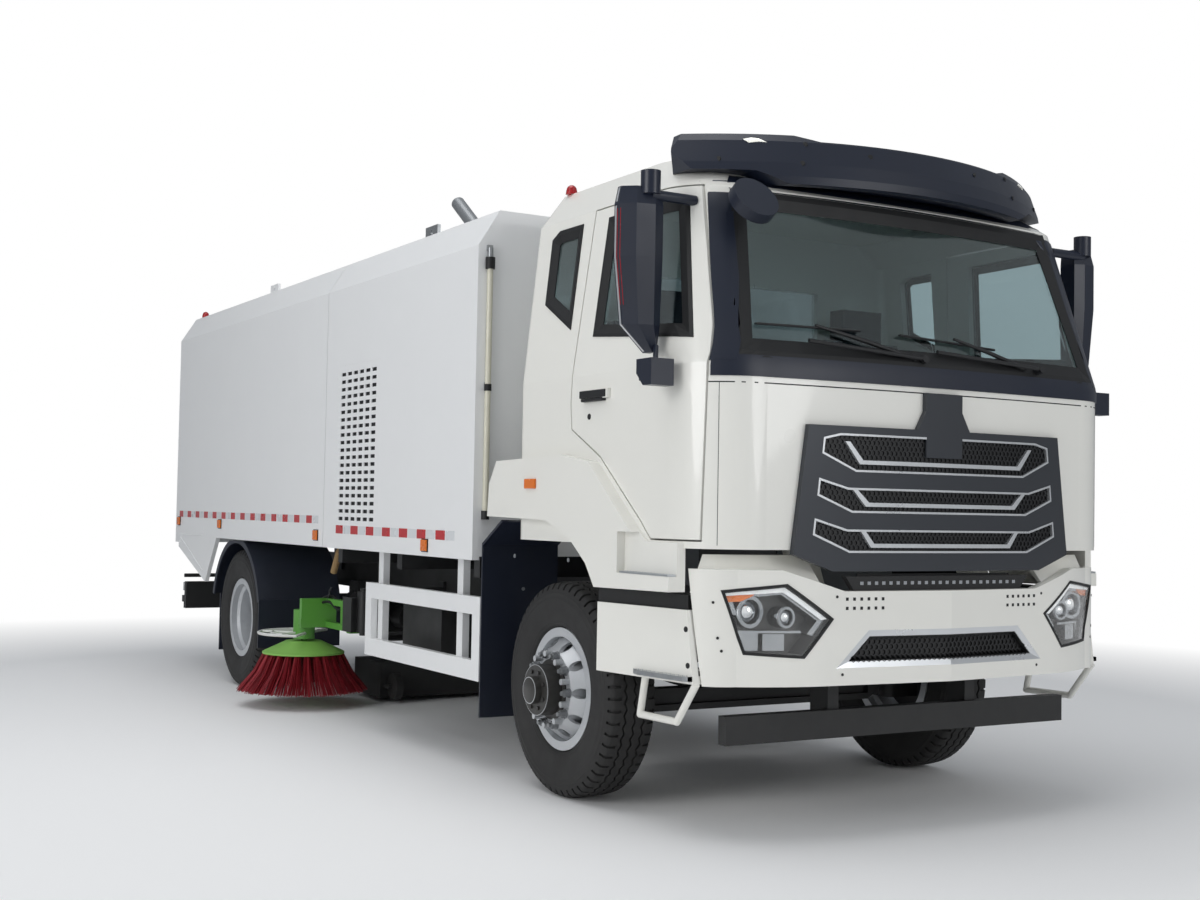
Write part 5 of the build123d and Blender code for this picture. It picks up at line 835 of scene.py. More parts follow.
# How far behind the bumper's face each part lies, front and back
lens_front, lens_back = 0.0015, 0.0045
gasket_front, gasket_back = -0.0025, 0.004
signal_front, signal_back = 0.024, 0.075
band_front, band_back = 0.012, 0.022
gasket_outer, gasket_inner = 0.007, -0.004
lens_columns, lens_rows, lens_step, outline_parts = 19, 8, 0.03, 8
# Projectors, columns: x from the front axle, y, z, lens radius, ring radius
projectors = [(1.236, 0.934, 0.945, 0.049, 0.060), (1.298, 0.796, 0.924, 0.032, 0.041)]
lens_sink = 0.95
# Projector ring's section, columns: radius past the ring's own, depth
ring_section = [(0.0, 0.0), (0.004, -0.004), (0.004, -0.030), (-0.004, -0.030), (-0.004, -0.003)]
ring_sink, ring_steps = 0.002, 32
for name, side in sides:
    lens = bmesh.new()
    edges = []
    for corners in (lamp_outline[:3], lamp_outline[:-4:-1]):
        edges.append(picked(dense([Vector((*corner, 0)) for corner in corners], lens_step), lens_columns))
    front, back = [], []
    for row in range(lens_rows + 1):
        spots = [upper.lerp(lower, row / lens_rows) for upper, lower in zip(*edges)]
        front.append(face_line([(spot.x, spot.y) for spot in spots], lens_front, side))
        back.append(face_line([(spot.x, spot.y) for spot in spots], lens_back, side))
    rails(lens, front + back[::-1])
    smooth(link_piece(f"headlamp_lens_{name}", lens, "chassis", lamp_lens), 40)

    gasket = bmesh.new()
    outer_line = divided(grown(lamp_outline, gasket_outer), outline_parts, True)
    inner_line = divided(grown(lamp_outline, gasket_inner), outline_parts, True)
    rails(gasket, [face_line(outer_line, gasket_back, side), face_line(outer_line, gasket_front, side),
                   face_line(inner_line, gasket_front, side), face_line(inner_line, gasket_back, side)], True)
    link_piece(f"headlamp_gasket_{name}", gasket, "chassis", seal_rubber)

    signal = bmesh.new()
    rails(signal, [face_line(signal_rows[0], signal_front, side), face_line(signal_rows[1], signal_front, side),
                   face_line(signal_rows[1], signal_back, side), face_line(signal_rows[0], signal_back, side)])
    link_piece(f"front_indicator_{name}", signal, "chassis", amber_cap)

    band = bmesh.new()
    outer_line, inner_line = [divided(row, outline_parts) for row in band_rows]
    rails(band, [face_line(outer_line, band_front, side), face_line(inner_line, band_front, side),
                 face_line(inner_line, band_back, side), face_line(outer_line, band_back, side)])
    link_piece(f"light_band_{name}", band, "chassis", band_white)

    optics, optics_rings = bmesh.new(), bmesh.new()
    for x, y, z, lens_radius, ring_radius in projectors:
        place = Matrix.Translation((front_axle + x - lens_radius * lens_sink, side * y, z))
        bmesh.ops.create_uvsphere(optics, u_segments=28, v_segments=14, radius=lens_radius, matrix=place)
        rows = []
        for past, depth in ring_section:
            turns = [math.tau * k / ring_steps for k in range(ring_steps)]
            radius, face_x = ring_radius + past, front_axle + x - ring_sink + depth
            rows.append([Vector((face_x, side * y + radius * math.cos(t), z + radius * math.sin(t)))
                         for t in turns])
        rails(optics_rings, rows, True)
    smooth(link_piece(f"projector_lenses_{name}", optics, "chassis", mirror_silver), 60)
    smooth(link_piece(f"projector_rings_{name}", optics_rings, "chassis", mirror_silver), 40)


# Bumper's middle: a satin-framed lower intake closed by honeycomb, and a perforated strip over it.
# The frame is a plated moulding clipped into the opening. The strip carries a row of small lamps.
# A black sheet behind the strip, and one in each gap beside the engine under the cab's floor, is painted shade.

intake_half = [(0.430, 0.870), (0.590, 0.716)]
intake_outline = intake_half + [(-y, z) for y, z in reversed(intake_half)]
frame_outer, frame_inner, frame_parts = 0.002, -0.026, 16
intake_cell, intake_web, intake_lift = 0.026, 0.0035, 0.006
intake_floor, comb_inset = 0.034, -0.036
outer_line = divided(grown(intake_outline, frame_outer), frame_parts, True)
inner_line = divided(grown(intake_outline, frame_inner), frame_parts, True)
intake_frame = bmesh.new()
rails(intake_frame, [face_line(outer_line, 0.010, 1), face_line(outer_line, 0.0005, 1),
                     face_line(inner_line, 0.008, 1), face_line(inner_line, 0.030, 1)], True)
link_piece("intake_frame", intake_frame, "chassis", bright_trim)


def intake_plane(y, z):
    """A point on the intake's floor."""
    return face_line([(y, z)], intake_floor, 1)[0]


intake_comb = bmesh.new()
honeycomb(intake_comb, skin_of("bumper_grille"), [tuple(point) for point in grown(intake_outline, comb_inset)],
          intake_cell, intake_web, intake_lift, Vector((1, 0, 0)), intake_plane)
link_piece("intake_honeycomb", intake_comb, "chassis", honeycomb_and_shade_black)

strip_half, strip_pitch, strip_count = 0.44, 0.04, 23
strip_lamp_half, strip_lamp_x, strip_lamp_z = 0.009, (3.965, 3.9672), (1.056, 1.070)
strip_dots = bmesh.new()
for index in range(strip_count):
    y = -strip_half + strip_pitch * index
    box(strip_dots, strip_lamp_x, (y - strip_lamp_half, y + strip_lamp_half), strip_lamp_z)
link_piece("strip_lamps", strip_dots, "chassis", mirror_silver)

# Painted shade: a black sheet behind the perforated strip, so that no light shows through it.
shade_x, shade_z = (3.929, 3.9355), (1.034, 1.101)
painted_shade_panel = bmesh.new()
box(painted_shade_panel, shade_x, (-strip_half, strip_half), shade_z)
link_piece("bumper_painted_shade_panel", painted_shade_panel, "chassis", honeycomb_and_shade_black)

# Painted shade: thin black sheets in the gaps beside the engine under the cab's floor.
underfloor_shade_x, underfloor_shade_z, underfloor_shade_near, underfloor_shade_far = (2.960, 3.560), (1.022, 1.2075), 0.575, 0.579
painted_shade_sheets = bmesh.new()
for side in (1, -1):
    box(painted_shade_sheets, underfloor_shade_x, (side * underfloor_shade_near, side * underfloor_shade_far), underfloor_shade_z)
link_piece("underfloor_painted_shade_sheets", painted_shade_sheets, "cab", honeycomb_and_shade_black)


# Bumper's small fastenings: dark screw heads beside the lamps and two plain groups of square holes.
# The screws hold the steel bumper's corners, and the holes are punched through its face.

# Screws, columns: y, z
bumper_screws = ((1.098, 0.985), (1.082, 0.842), (1.068, 0.790), (0.590, 1.010), (0.560, 0.690))
corner_y, corner_lean, middle_lean = 0.9, 0.9, 0.1
screw_radius, screw_height, screw_sink = 0.006, 0.004, 0.002
hole_y, hole_z, hole_pitch_y, hole_pitch_z, hole_half = 0.36, 0.962, 0.036, 0.038, 0.0065
hole_columns, hole_rows, hole_back, hole_front = 6, 2, 0.004, 0.0012
screws = bmesh.new()
for side in (1, -1):
    for y, z in bumper_screws:
        lean = corner_lean if y > corner_y else middle_lean
        drum(screws, face_line([(y, z)], screw_sink, side)[0], (1, side * lean, 0), screw_radius, screw_height, 10)
    for column in range(hole_columns):
        for row in range(hole_rows):
            y, z = hole_y + hole_pitch_y * column, hole_z + hole_pitch_z * row
            face_x = front_axle + bumper_x(y)
            box(screws, (face_x - hole_back, face_x + hole_front), (side * y - hole_half, side * y + hole_half),
                (z - hole_half, z + hole_half))
link_piece("bumper_fastenings", screws, "chassis", seal_rubber)


# Visor: a blue-black moulding over the windscreen, with clearance lamps in its raised ends.
# Each lamp is a clear cover over a white bed, and dark screws hold the visor to the roof.

visor_skin = skin_of("visor")
lamp_top_reach, lamp_low_reach = 1.06, 1.10
# Lamp parts, columns: name, material, slot, upper edge (y, z), lower edge (y, z), lift, depth
visor_parts = [
    ("visor_lamps", lamp_lens, "glass", ((0.82, 2.962), (0.89, 2.966), (0.96, 2.957)),
     ((0.81, 2.940), (0.89, 2.942), (0.975, 2.936)), 0.003, 0.003),
    ("visor_lamp_beds", cab_paint, "bright_trim", ((0.825, 2.960), (0.89, 2.964), (0.955, 2.955)),
     ((0.815, 2.942), (0.89, 2.944), (0.970, 2.938)), 0.0022, 0.002),
]
for name, material, slot, upper_edge, lower_edge, lift, depth in visor_parts:
    part = bmesh.new()
    for side in (1, -1):
        upper = [Vector((front_axle + lamp_top_reach, side * y, z)) for y, z in upper_edge]
        lower = [Vector((front_axle + lamp_low_reach, side * y, z)) for y, z in lower_edge]
        sheet(part, (visor_skin,), upper, lower, from_core, lift, depth, 2)
    link_piece(name, part, "cab", material)

# Screws, columns: x from the front axle, y, z
visor_fixings = ((1.156, 0.635, 2.850), (1.13, 0.60, 2.940), (0.99, 0.98, 2.860), (1.20, 0.30, 2.905))
fixing_sink, fixing_radius, fixing_height = 0.003, 0.011, 0.006
visor_screws = bmesh.new()
for side in (1, -1):
    for x, y, z in visor_fixings:
        spot = Vector((front_axle + x, side * y, z))
        spot = laid(visor_skin, spot, from_core(spot), 0.0)
        drum(visor_screws, spot - from_core(spot) * fixing_sink, from_core(spot), fixing_radius, fixing_height, 14)
link_piece("visor_screws", visor_screws, "cab", seal_rubber)


# Door mirrors and pulls: silvered glass in the heads' rear faces, satin edge trims and red reflectors.
# The glass is bonded into a moulded head on two posts. The door's pull is a black moulded grip with a
# lock drum under it.

def soften(mesh, width):
    """Rounds every edge of a moulded block."""
    bmesh.ops.bevel(mesh, geom=mesh.edges[:], offset=width, offset_type="OFFSET", segments=2, profile=0.5,
                    affect="EDGES", material=-1)


# Columns: z, inner y, outer y
mirror_rows = ((2.14, 1.232, 1.370), (2.40, 1.228, 1.400), (2.60, 1.228, 1.400), (2.67, 1.234, 1.388))
mirror_rear, mirror_front = 3.5185, 3.5205
close_mirror_x, close_mirror_y, close_mirror_z = (3.603, 3.605), (1.250, 1.330), (1.885, 1.955)
# Lines down the head's outer edge, columns: y, z
trim_x, trim_edge = 3.53, ((1.40, 2.690), (1.420, 2.600), (1.420, 2.400), (1.390, 2.120), (1.268, 2.015))
reflector_x, reflector_edge = 3.547, ((1.418, 2.60), (1.418, 2.40), (1.40, 2.20))
trim_width, reflector_width = (0.011, -0.004), (0.016, -0.010)
trim_lift, reflector_lift, trim_depth, trim_step = 0.0015, 0.0012, 0.002, 0.05
pull_root = 1.196
# Pull's blocks, columns: x, outer y, z
pull_blocks = (((2.920, 3.145), 1.2235, (1.852, 1.886)), ((2.930, 3.120), 1.2205, (1.836, 1.852)))
lock_x, lock_y, lock_z, lock_radius, lock_height = 2.975, 1.194, 1.770, 0.014, 0.009
moulded_edge = 0.004
for name, side in sides:
    body = f"door_{name}"
    glass = bmesh.new()
    columns = ((mirror_rear, 1), (mirror_rear, 2), (mirror_front, 2), (mirror_front, 1))
    rails(glass, [[Vector((x, side * row[column], row[0])) for row in mirror_rows] for x, column in columns])
    box(glass, close_mirror_x, [side * y for y in close_mirror_y], close_mirror_z)
    link_piece(f"mirror_glass_{name}", glass, body, mirror_silver)

    head_skin = skin_of(f"mirror_{name}")
    trim, reflector = bmesh.new(), bmesh.new()
    for mesh, x, edge, (wide_x, wide_y), aim, lift in (
            (trim, trim_x, trim_edge, trim_width, toward(0.3, side, 0), trim_lift),
            (reflector, reflector_x, reflector_edge, reflector_width, toward(0.5, side, 0), reflector_lift)):
        line = dense([Vector((x, side * y, z)) for y, z in edge], trim_step)
        moved = [point + Vector((wide_x, side * wide_y, 0)) for point in line]
        sheet(mesh, (head_skin,), line, moved, aim, lift, trim_depth)
    link_piece(f"mirror_trim_{name}", trim, body, bright_trim)
    link_piece(f"mirror_reflector_{name}", reflector, body, red_cap)

    pull = bmesh.new()
    for block_x, outer_y, block_z in pull_blocks:
        box(pull, block_x, (side * pull_root, side * outer_y), block_z)
    drum(pull, (lock_x, side * lock_y, lock_z), (0, side, 0), lock_radius, lock_height, 16)
    soften(pull, moulded_edge)
    link_piece(f"door_pull_{name}", pull, body, black_plastic)


# Cab sides: amber marker lamps on the fenders, ribbed aluminium treads and black closing strips.
# The treads are pressed plates with raised pimples, screwed on the steps. The strips close the gap
# between the cab and the step panels, and two screw heads show beside each lower step.

# Pressed aluminium: pale, half-bright metal, dulled by road dust.
tread_metal = surface("ribbed_aluminium", "C4C7CA", "B4B8BC", 0.05, (0.3, 0.42), 4.0, 0.3, metallic=0.9, dust=0.1)
marker_x, marker_y, marker_z = (2.470, 2.575), (1.2495, 1.262), (1.445, 1.492)
tread_x, tread_y, tread_z = (3.345, 3.722), (1.212, 1.2515), (1.0845, 1.092)
# Pimples, columns: first x, first y, pitch in x, pitch in y, foot z, radius, height, count in x and y
upper_pimples = (3.358, 1.219, 0.0235, 0.0085, 1.0915, 0.0026, 0.002, 16, 4)
lower_pimples = (3.455, 0.004, 0.025, 0.009, 0.683, 0.003, 0.003, 13, 3)
# Step panel's outer wall: where it starts, its y there, its length and how far it draws in
wall_start, wall_y, wall_length, wall_taper = 3.165, 1.250, 0.625, 0.085
# Lower tread's plan, columns: x, distance outside the wall
lower_tread = ((3.420, -0.010), (3.785, -0.010), (3.785, 0.022), (3.760, 0.030), (3.480, 0.030), (3.420, 0.004))
lower_tread_heights = (0.664, 0.683, 0.684, 0.665)
# Closing strip, columns: x, outer y, inner y
strip_ends = ((3.150, 1.236, 1.100), (3.735, 1.158, 1.060))
strip_heights = (0.9505, 1.010)
step_screws = ((3.742, 0.872), (3.757, 0.726))
step_screw_radius, step_screw_height, step_screw_sink = 0.012, 0.0035, 0.002


def step_wall(x):
    """How far from the middle the step panel's outer wall lies at this x."""
    return wall_y - (x - wall_start) / wall_length * wall_taper


for name, side in sides:
    marker = bmesh.new()
    box(marker, marker_x, [side * y for y in marker_y], marker_z)
    soften(marker, moulded_edge)
    link_piece(f"fender_marker_{name}", marker, "cab", amber_cap)

    tread = bmesh.new()
    box(tread, tread_x, [side * y for y in tread_y], tread_z)
    first_x, first_y, pitch_x, pitch_y, foot, radius, height, columns, rows = upper_pimples
    for row in range(rows):
        for column in range(columns):
            spot = (first_x + pitch_x * column, side * (first_y + pitch_y * row), foot)
            drum(tread, spot, (0, 0, 1), radius, height, 6)
    link_piece(f"upper_tread_{name}", tread, "cab", tread_metal)

    low_tread = bmesh.new()
    rails(low_tread, [[Vector((x, side * (step_wall(x) + outside), z)) for x, outside in lower_tread]
                      for z in lower_tread_heights], True)
    first_x, first_y, pitch_x, pitch_y, foot, radius, height, columns, rows = lower_pimples
    for row in range(rows):
        for column in range(columns):
            x = first_x + pitch_x * column
            spot = (x, side * (step_wall(x) + first_y + pitch_y * row), foot)
            drum(low_tread, spot, (0, 0, 1), radius, height, 6)
    link_piece(f"lower_tread_{name}", low_tread, "chassis", tread_metal)

    filler = bmesh.new()
    low, high = strip_heights
    rails(filler, [[Vector((end[0], side * end[column], z)) for end in strip_ends]
                   for column, z in ((1, low), (1, high), (2, high), (2, low))])
    for x, z in step_screws:
        spot = (x, side * (step_wall(x) - step_screw_sink), z)
        drum(filler, spot, (0.13, side, 0), step_screw_radius, step_screw_height, 14)
    link_piece(f"step_filler_{name}", filler, "chassis", seal_rubber)


# Body sides: reflective tape, amber side lamps and a black sheet of painted shade behind the louvres.
# The tape is film stuck in blocks of red and white. The lamps are moulded caps clipped on rubber beds,
# and a black sheet behind the louvre slots is painted shade in them.

# Films under a glossy top coat read as flat bright colour. The sheet behind the louvres is matt black: painted
# shade.
red_film = surface("red_reflective_film", "C0141E", "B5121B", 0.3, (0.24, 0.32), 4.0, 0.005, coat=0.6)
white_film = surface("white_reflective_film", "DDE0E2", "D6D9DC", 0.3, (0.24, 0.32), 4.0, 0.005, coat=0.6)
painted_shade_black = surface("black_painted_louvre_shade", "0F1012", "15161A", 0.3, (0.6, 0.7), 2.0, 0.02)
body_side = 1.250
film_clearance, film_thickness, film_gap = 0.0001, 0.0007, 0.010
# Columns: name, body, rear end, pitch, red length, count, low edge, high edge
tape_strips = [
    ("rear", "hopper", -3.700, 0.238, 0.108, 14, 1.230, 1.280),
    ("front", "chassis", -0.060, 0.250, 0.120, 7, 1.175, 1.226),
]
for place, body, rear, pitch, red_length, count, low, high in tape_strips:
    white_length = pitch - red_length - 2 * film_gap
    films = (("red", red_film, 0.0, red_length), ("white", white_film, red_length + film_gap, white_length))
    for colour, film, start, length in films:
        blocks = bmesh.new()
        for side in (1, -1):
            faces = (side * (body_side + film_clearance), side * (body_side + film_thickness))
            for index in range(count):
                x = rear + start + index * pitch
                box(blocks, (x, x + length), faces, (low, high))
        link_piece(f"{place}_tape_{colour}", blocks, body, film)

# Columns: x, z, body
side_lamps = [(-3.705, 1.195, "hopper"), (-2.544, 1.190, "hopper"), (-0.413, 1.155, "hopper"),
              (1.306, 1.140, "chassis")]
# Cap and its bed, columns: half length, half height, near face, far face from the body's side
cap_sizes, bed_sizes = (0.036, 0.031, 0.003, 0.014), (0.041, 0.036, film_clearance, 0.004)
cap_edge = 0.003
for body in ("hopper", "chassis"):
    caps, beds = bmesh.new(), bmesh.new()
    for side in (1, -1):
        for x, z, owner in side_lamps:
            if owner == body:
                for mesh, (half_x, half_z, near, far) in ((caps, cap_sizes), (beds, bed_sizes)):
                    box(mesh, (x - half_x, x + half_x), (side * (body_side + near), side * (body_side + far)),
                        (z - half_z, z + half_z))
    soften(caps, cap_edge)
    link_piece(f"side_lamp_caps_{body}", caps, body, amber_cap)
    link_piece(f"side_lamp_beds_{body}", beds, body, seal_rubber)

# Painted shade: a thin matt black sheet just inside each side, behind the louvre slots.
painted_shade_x, painted_shade_y, painted_shade_z = (-0.078, 0.608), (1.236, 1.2415), (1.217, 2.213)
painted_shade = bmesh.new()
for side in (1, -1):
    box(painted_shade, painted_shade_x, [side * y for y in painted_shade_y], painted_shade_z)
link_piece("louvre_painted_shade", painted_shade, "chassis", painted_shade_black)


# Tail skirts: two ribs pressed into the hopper's rear skirts, painted with the body.
# One follows the sloping lower edge and one runs level under the tape. Both stiffen the thin sheet.

rib_y = body_side - 0.004
edge_rib, edge_rib_radius = ((-3.680, 1.015), (-3.655, 1.060), (-2.985, 0.812)), 0.009
level_rib, level_rib_radius = ((-3.650, 1.092), (-3.020, 1.092)), 0.007
ribs = bmesh.new()
for side in (1, -1):
    for path, radius in ((edge_rib, edge_rib_radius), (level_rib, level_rib_radius)):
        bar(ribs, [(x, side * rib_y, z) for x, z in path], radius, 8)
smooth(link_piece("tail_skirt_ribs", ribs, "hopper", body_paint), 50)


# Level tube on the module's front wall: a pale plastic tube that shows the water's height.
# It is pushed into black rubber sockets at both ends and held by a clamp in the middle.

# Weathered translucent plastic: pale cream with a soft gloss.
level_plastic = surface("pale_translucent_plastic", "DAD7C6", "CFCBB8", 0.2, (0.25, 0.35), 2.0, 0.02, coat=0.4)
tube_x, tube_y, tube_low, tube_length, tube_radius = front_axle - 0.705, -1.190, 1.330, 1.255, 0.0155
# Lower socket, upper socket and clamp, columns: low z, high z, radius
tube_holders = ((1.290, 1.335, 0.021), (2.580, 2.640, 0.025), (1.950, 1.985, 0.019))
tube, tube_ends = bmesh.new(), bmesh.new()
drum(tube, (tube_x, tube_y, tube_low), (0, 0, 1), tube_radius, tube_length, 20)
for low, high, radius in tube_holders:
    drum(tube_ends, (tube_x, tube_y, low), (0, 0, 1), radius, high - low, 20)
smooth(link_piece("level_tube_sleeve", tube, "chassis", level_plastic), 40)
link_piece("level_tube_ends", tube_ends, "chassis", seal_rubber)


# Front wheels: a black hub with its cap, and ten plated nuts on the silver disc.
# The hub is a turned and enamelled casting with eight bolts round its cap. The nuts are zinc-plated
# steel with a washer under each and the stud's end showing. All turn with the wheel.

def around(centre, radius, turn, offset):
    """A spot round the wheel's axle, moved along it by offset."""
    return (centre[0] + radius * math.cos(turn), centre[1] + offset, centre[2] + radius * math.sin(turn))


# Enamel smooths the casting to a half gloss. Zinc plating is a dull grey metal.
hub_black = surface("black_hub_enamel", "131416", "1B1C1F", 0.1, (0.32, 0.46), 3.0, 0.06, coat=0.2, dust=0.2)
nut_steel = surface("zinc_plated_steel", "A8ABAE", "8F9296", 0.02, (0.3, 0.42), 1.5, 0.02, metallic=0.85, dust=0.2)
# Columns: radius, distance outside the wheel's middle plane
hub_profile = [(0.1405, 0.150), (0.1405, 0.156), (0.1195, 0.160), (0.1195, 0.232), (0.114, 0.2375),
               (0.064, 0.2375), (0.0635, 0.268), (0.058, 0.2712), (0.0, 0.2712), (0.0, 0.150)]
cap_bolt_count, cap_bolt_circle, cap_bolt_foot = 8, 0.088, 0.2365
cap_bolt_radius, cap_bolt_height = 0.010, 0.009
stud_count, stud_circle, disc_face = 10, 0.1675, 0.150
# Washer, nut and stud's end, columns: foot over the disc's face, radius, height, sides, end radius
nut_parts = [(0.0, 0.0225, 0.006, 18, 0.0225), (0.006, 0.0185, 0.024, 6, 0.0185), (0.030, 0.0120, 0.014, 12, 0.010)]
for name, side in sides:
    centre = (front_axle, side * front_wheel_y, tyre_radius)
    hub = bmesh.new()
    turned(hub, hub_profile, centre, side, 48)
    for k in range(cap_bolt_count):
        spot = around(centre, cap_bolt_circle, math.tau * (k + 0.5) / cap_bolt_count, side * cap_bolt_foot)
        drum(hub, spot, (0, side, 0), cap_bolt_radius, cap_bolt_height, 6)
    smooth(link_piece(f"front_hub_{name}", hub, f"front_wheel_{name}", hub_black), 35)
    nuts = bmesh.new()
    for k in range(stud_count):
        for foot, radius, height, corners, end_radius in nut_parts:
            spot = around(centre, stud_circle, math.tau * k / stud_count, side * (disc_face + foot))
            drum(nuts, spot, (0, side, 0), radius, height, corners, end_radius)
    link_piece(f"front_nuts_{name}", nuts, f"front_wheel_{name}", nut_steel)


# Side brushes: flared red bristle tufts under the green disc, a white hoop guard, hoses to the motor.
# Bristles are polypropylene strands set in the disc in tufts that spread to the ground. The guard is
# bent and welded bar, and the hoses are braided rubber. They are drawn as coarse as shows.

brush_x, brush_y = -0.960, 1.120
strand_root, strand_tip, strand_limit = 0.250, 0.400, 0.4445
root_height, tip_height, tip_spread = 0.3475, 0.1005, 0.012
root_tuft, tip_tuft_out, tip_tuft_round, tip_stray = 0.020, 0.042, 0.058, 0.01
tuft_count, strands_per_tuft, pale_every = 26, 46, 5
strand_radius, strand_bow = 0.0026, 1.35
# Bleached bristle, sprayed bar, braided rubber, canvas and oiled chain: only the bar has a gloss.
bristle_pale = surface("pale_red_polypropylene", "B5434B", "8E1B26", 0.03, (0.4, 0.55), 1.0, 0.05)
guard_white = surface("white_sprayed_bar", "E8E9E6", "DADBD8", 0.1, (0.34, 0.46), 3.0, 0.03, coat=0.3, dust=0.2)
hose_black = surface("black_braided_hose", "121315", "1C1D20", 0.03, (0.5, 0.62), 2.0, 0.2)
tan_sleeve = surface("tan_canvas_sleeve", "A88A62", "8F744F", 0.03, (0.8, 0.9), 1.5, 0.3)
chain_steel = surface("oiled_chain_steel", "4A4C4F", "35373A", 0.02, (0.35, 0.5), 1.0, 0.05, metallic=0.8)


def brush_spot(side, radius, turn, height):
    """A spot round a brush's own upright axis."""
    return (brush_x + radius * math.cos(turn), side * (brush_y + radius * math.sin(turn)), height)


guard_height, hoop_radius, inner_radius, spoke_root = 0.485, 0.300, 0.215, 0.06
hoop_bar, inner_bar = 0.010, 0.008
# Angles in degrees: the hoop's and the inner bow's points, and the spokes
hoop_angles, inner_angles, spoke_angles = range(30, 231, 10), range(60, 201, 10), (75, 130, 185)
hoop_start, hoop_end = (0.075, 0.02), (-0.03, -0.065)
# Hose's points, columns: x from the brush, y, z, whether the second hose rises there
hose_points = ((0.02, 1.05, 0.660, 1), (0.16, 1.01, 0.700, 1), (0.30, 0.99, 0.655, 0), (0.42, 0.965, 0.690, 0))
hose_start, hose_spacing, hose_radius = (0.03, 1.07, 0.560), 0.035, 0.010
strut_y = 1.0
strut_path, strut_radii = ((-0.637, 1.078), (-0.655, 1.040), (-0.745, 0.900)), [0.009, 0.022, 0.022]
chain_start, chain_run = (-0.838, 0.712), (0.05, 0.082)
link_step, link_count, link_radius = (0.010, 0.004, 0.020), 5, 0.008
rng = random.Random(7)
for name, side in sides:
    dark, pale = bmesh.new(), bmesh.new()
    for tuft in range(tuft_count):
        turn = math.tau * tuft / tuft_count
        for strand in range(strands_per_tuft):
            spin, reach = rng.uniform(0, math.tau), math.sqrt(rng.uniform(0, 1))
            out, round_way = reach * math.cos(spin), reach * math.sin(spin)
            root_r = strand_root + root_tuft * out
            root_a = turn + root_tuft * round_way / strand_root
            tip_r = min(strand_tip + tip_tuft_out * out, strand_limit)
            tip_a = turn + tip_tuft_round * round_way / strand_tip + rng.uniform(-tip_stray, tip_stray)
            tip_z = tip_height + rng.uniform(0.0, tip_spread)
            path = []
            for share in (0.0, 0.5, 1.0):
                radius = root_r + (tip_r - root_r) * share ** strand_bow
                angle = root_a + (tip_a - root_a) * share
                path.append(brush_spot(side, radius, angle, root_height + (tip_z - root_height) * share))
            bar(pale if strand % pale_every == 0 else dark, path, strand_radius, 3)
    link_piece(f"bristle_strands_{name}", dark, f"brush_{name}", bristle_red,
               (f"brush_bristles_{name}",))
    link_piece(f"bristle_tips_{name}", pale, f"brush_{name}", bristle_pale)

    hoop = bmesh.new()
    ends = [(brush_x + x, side * (brush_y + y), guard_height) for x, y in (hoop_start, hoop_end)]
    arc = [brush_spot(side, hoop_radius, math.radians(angle), guard_height) for angle in hoop_angles]
    bar(hoop, ends[:1] + arc + ends[1:], hoop_bar, 10)
    arc = [brush_spot(side, inner_radius, math.radians(angle), guard_height) for angle in inner_angles]
    bar(hoop, arc, inner_bar, 8)
    for angle in spoke_angles:
        spoke = [brush_spot(side, radius, math.radians(angle), guard_height)
                 for radius in (spoke_root, hoop_radius)]
        bar(hoop, spoke, inner_bar, 8)
    smooth(link_piece(f"brush_hoop_{name}", hoop, f"brush_arm_{name}", guard_white), 50)

    hoses = bmesh.new()
    for shift in (0.0, hose_spacing):
        path = [(brush_x + hose_start[0] + shift, side * (hose_start[1] - shift), hose_start[2])]
        path += [(brush_x + x, side * (y - shift), z + shift * rises) for x, y, z, rises in hose_points]
        bar(hoses, curve(path, 7), hose_radius, 8)
    smooth(link_piece(f"brush_hoses_{name}", hoses, f"brush_arm_{name}", hose_black), 60)

    strut, links = bmesh.new(), bmesh.new()
    bar(strut, [(x, side * strut_y, z) for x, z in strut_path], strut_radii, 14)
    link_piece(f"brush_strut_sleeve_{name}", strut, "chassis", tan_sleeve)
    for k in range(link_count):
        share = k / link_count
        spot = Vector((chain_start[0] + chain_run[0] * share, side * strut_y,
                       chain_start[1] + chain_run[1] * share))
        step_x, step_y, step_z = link_step
        bar(links, [spot, spot + Vector((step_x, step_y * (-1) ** k, step_z))], link_radius, 6)
    link_piece(f"brush_chain_{name}", links, f"brush_arm_{name}", chain_steel)


# Tail: lamp clusters with red, amber and white caps and a bare plate on the rear bar.
# The caps are moulded in one strip on each side, and the plate is sprayed sheet screwed on the bar.

lamp_face, lamp_root, plate_root = -4.0402, -4.034, -4.036
lamp_z = (0.600, 0.670)
plate_half, plate_z = 0.260, (0.590, 0.730)
# Columns: name, material, near and far end from the middle
tail_lamps = (("red", red_cap, 0.800, 0.905), ("amber", amber_cap, 0.912, 1.010),
              ("white", white_film, 1.017, 1.112))
for name, cap, near, far in tail_lamps:
    lamp_caps = bmesh.new()
    for side in (1, -1):
        box(lamp_caps, (lamp_face, lamp_root), (side * near, side * far), lamp_z)
    link_piece(f"tail_lamp_{name}", lamp_caps, "chassis", cap)
plate = bmesh.new()
box(plate, (lamp_face, plate_root), (-plate_half, plate_half), plate_z)
link_piece("rear_plate_holder", plate, "chassis", guard_white)


# Tailgate: plated latches on its lower edge and a rubber seal line round its face.
# Each latch is a drum on a flat steel strap. The seal is an extruded cord pushed on the sheet's edge.

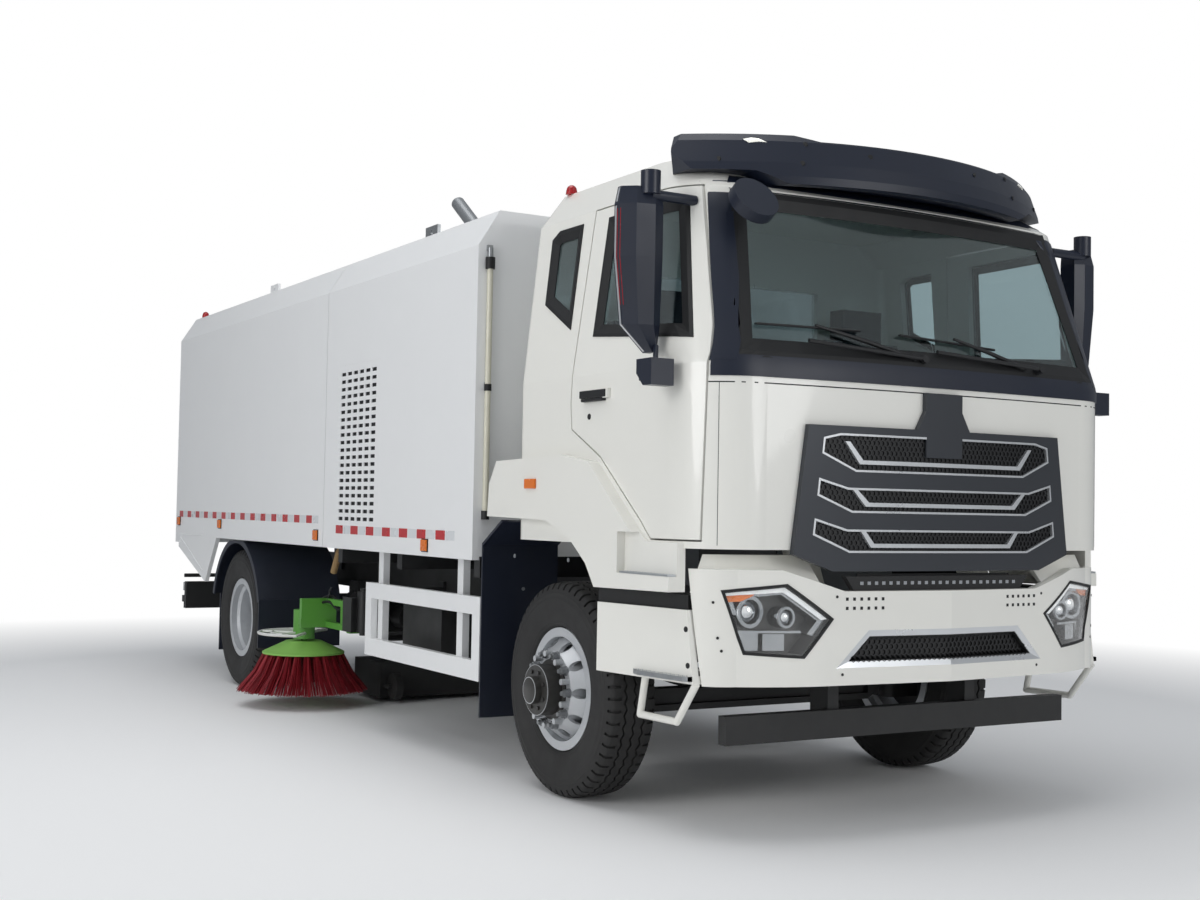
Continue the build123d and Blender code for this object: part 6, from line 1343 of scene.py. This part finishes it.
tail_face = -3.8105
latch_places = (0.420, 0.980)
latch_z, latch_sink, latch_radius, latch_height = 1.062, 0.004, 0.024, 0.018
strap_back, strap_front, strap_half, strap_z = -0.012, 0.002, 0.018, (1.026, 1.150)
seal_lap, seal_cord = 0.001, 0.005
seal_side, seal_shoulder, seal_low, seal_high, seal_top = 1.212, 1.110, 1.060, 2.690, 2.862
tail_latches, tail_seal = bmesh.new(), bmesh.new()
for side in (1, -1):
    for y in latch_places:
        drum(tail_latches, (tail_face + latch_sink, side * y, latch_z), (-1, 0, 0), latch_radius, latch_height, 20)
        box(tail_latches, (tail_face + strap_back, tail_face + strap_front),
            (side * (y - strap_half), side * (y + strap_half)), strap_z)
corner_paths = [[(side * seal_side, seal_low), (side * seal_side, seal_high), (side * seal_shoulder, seal_top)]
                for side in (1, -1)]
level_paths = [[(-half, z), (half, z)] for half, z in ((seal_shoulder, seal_top), (seal_side, seal_low))]
for path in corner_paths + level_paths:
    bar(tail_seal, [(tail_face + seal_lap, y, z) for y, z in path], seal_cord, 6)
link_piece("tailgate_latches", tail_latches, "tailgate", nut_steel)
link_piece("tailgate_seal", tail_seal, "tailgate", seal_rubber)


# Screws in the front wheel arches: small zinc-plated heads, two under each fender's edge and four
# down the rear of each arch. The liner that such screws hold is not modelled, so they stand free.

fender_screws, fender_screw_y = ((2.350, 1.120), (2.880, 1.120)), 1.2385
arch_rear_x, arch_rear_y, arch_rear_heights = 2.178, 1.100, (0.95, 0.78, 0.60, 0.42)
fender_screw_radius, fender_screw_height = 0.010, 0.003
arch_screw_radius, arch_screw_height = 0.009, 0.004
arch_screws = bmesh.new()
for side in (1, -1):
    for x, z in fender_screws:
        drum(arch_screws, (x, side * fender_screw_y, z), (0, side, 0), fender_screw_radius, fender_screw_height, 12)
    for z in arch_rear_heights:
        drum(arch_screws, (arch_rear_x, side * arch_rear_y, z), (1, 0, 0), arch_screw_radius, arch_screw_height, 12)
link_piece("apron_screws", arch_screws, "chassis", nut_steel)
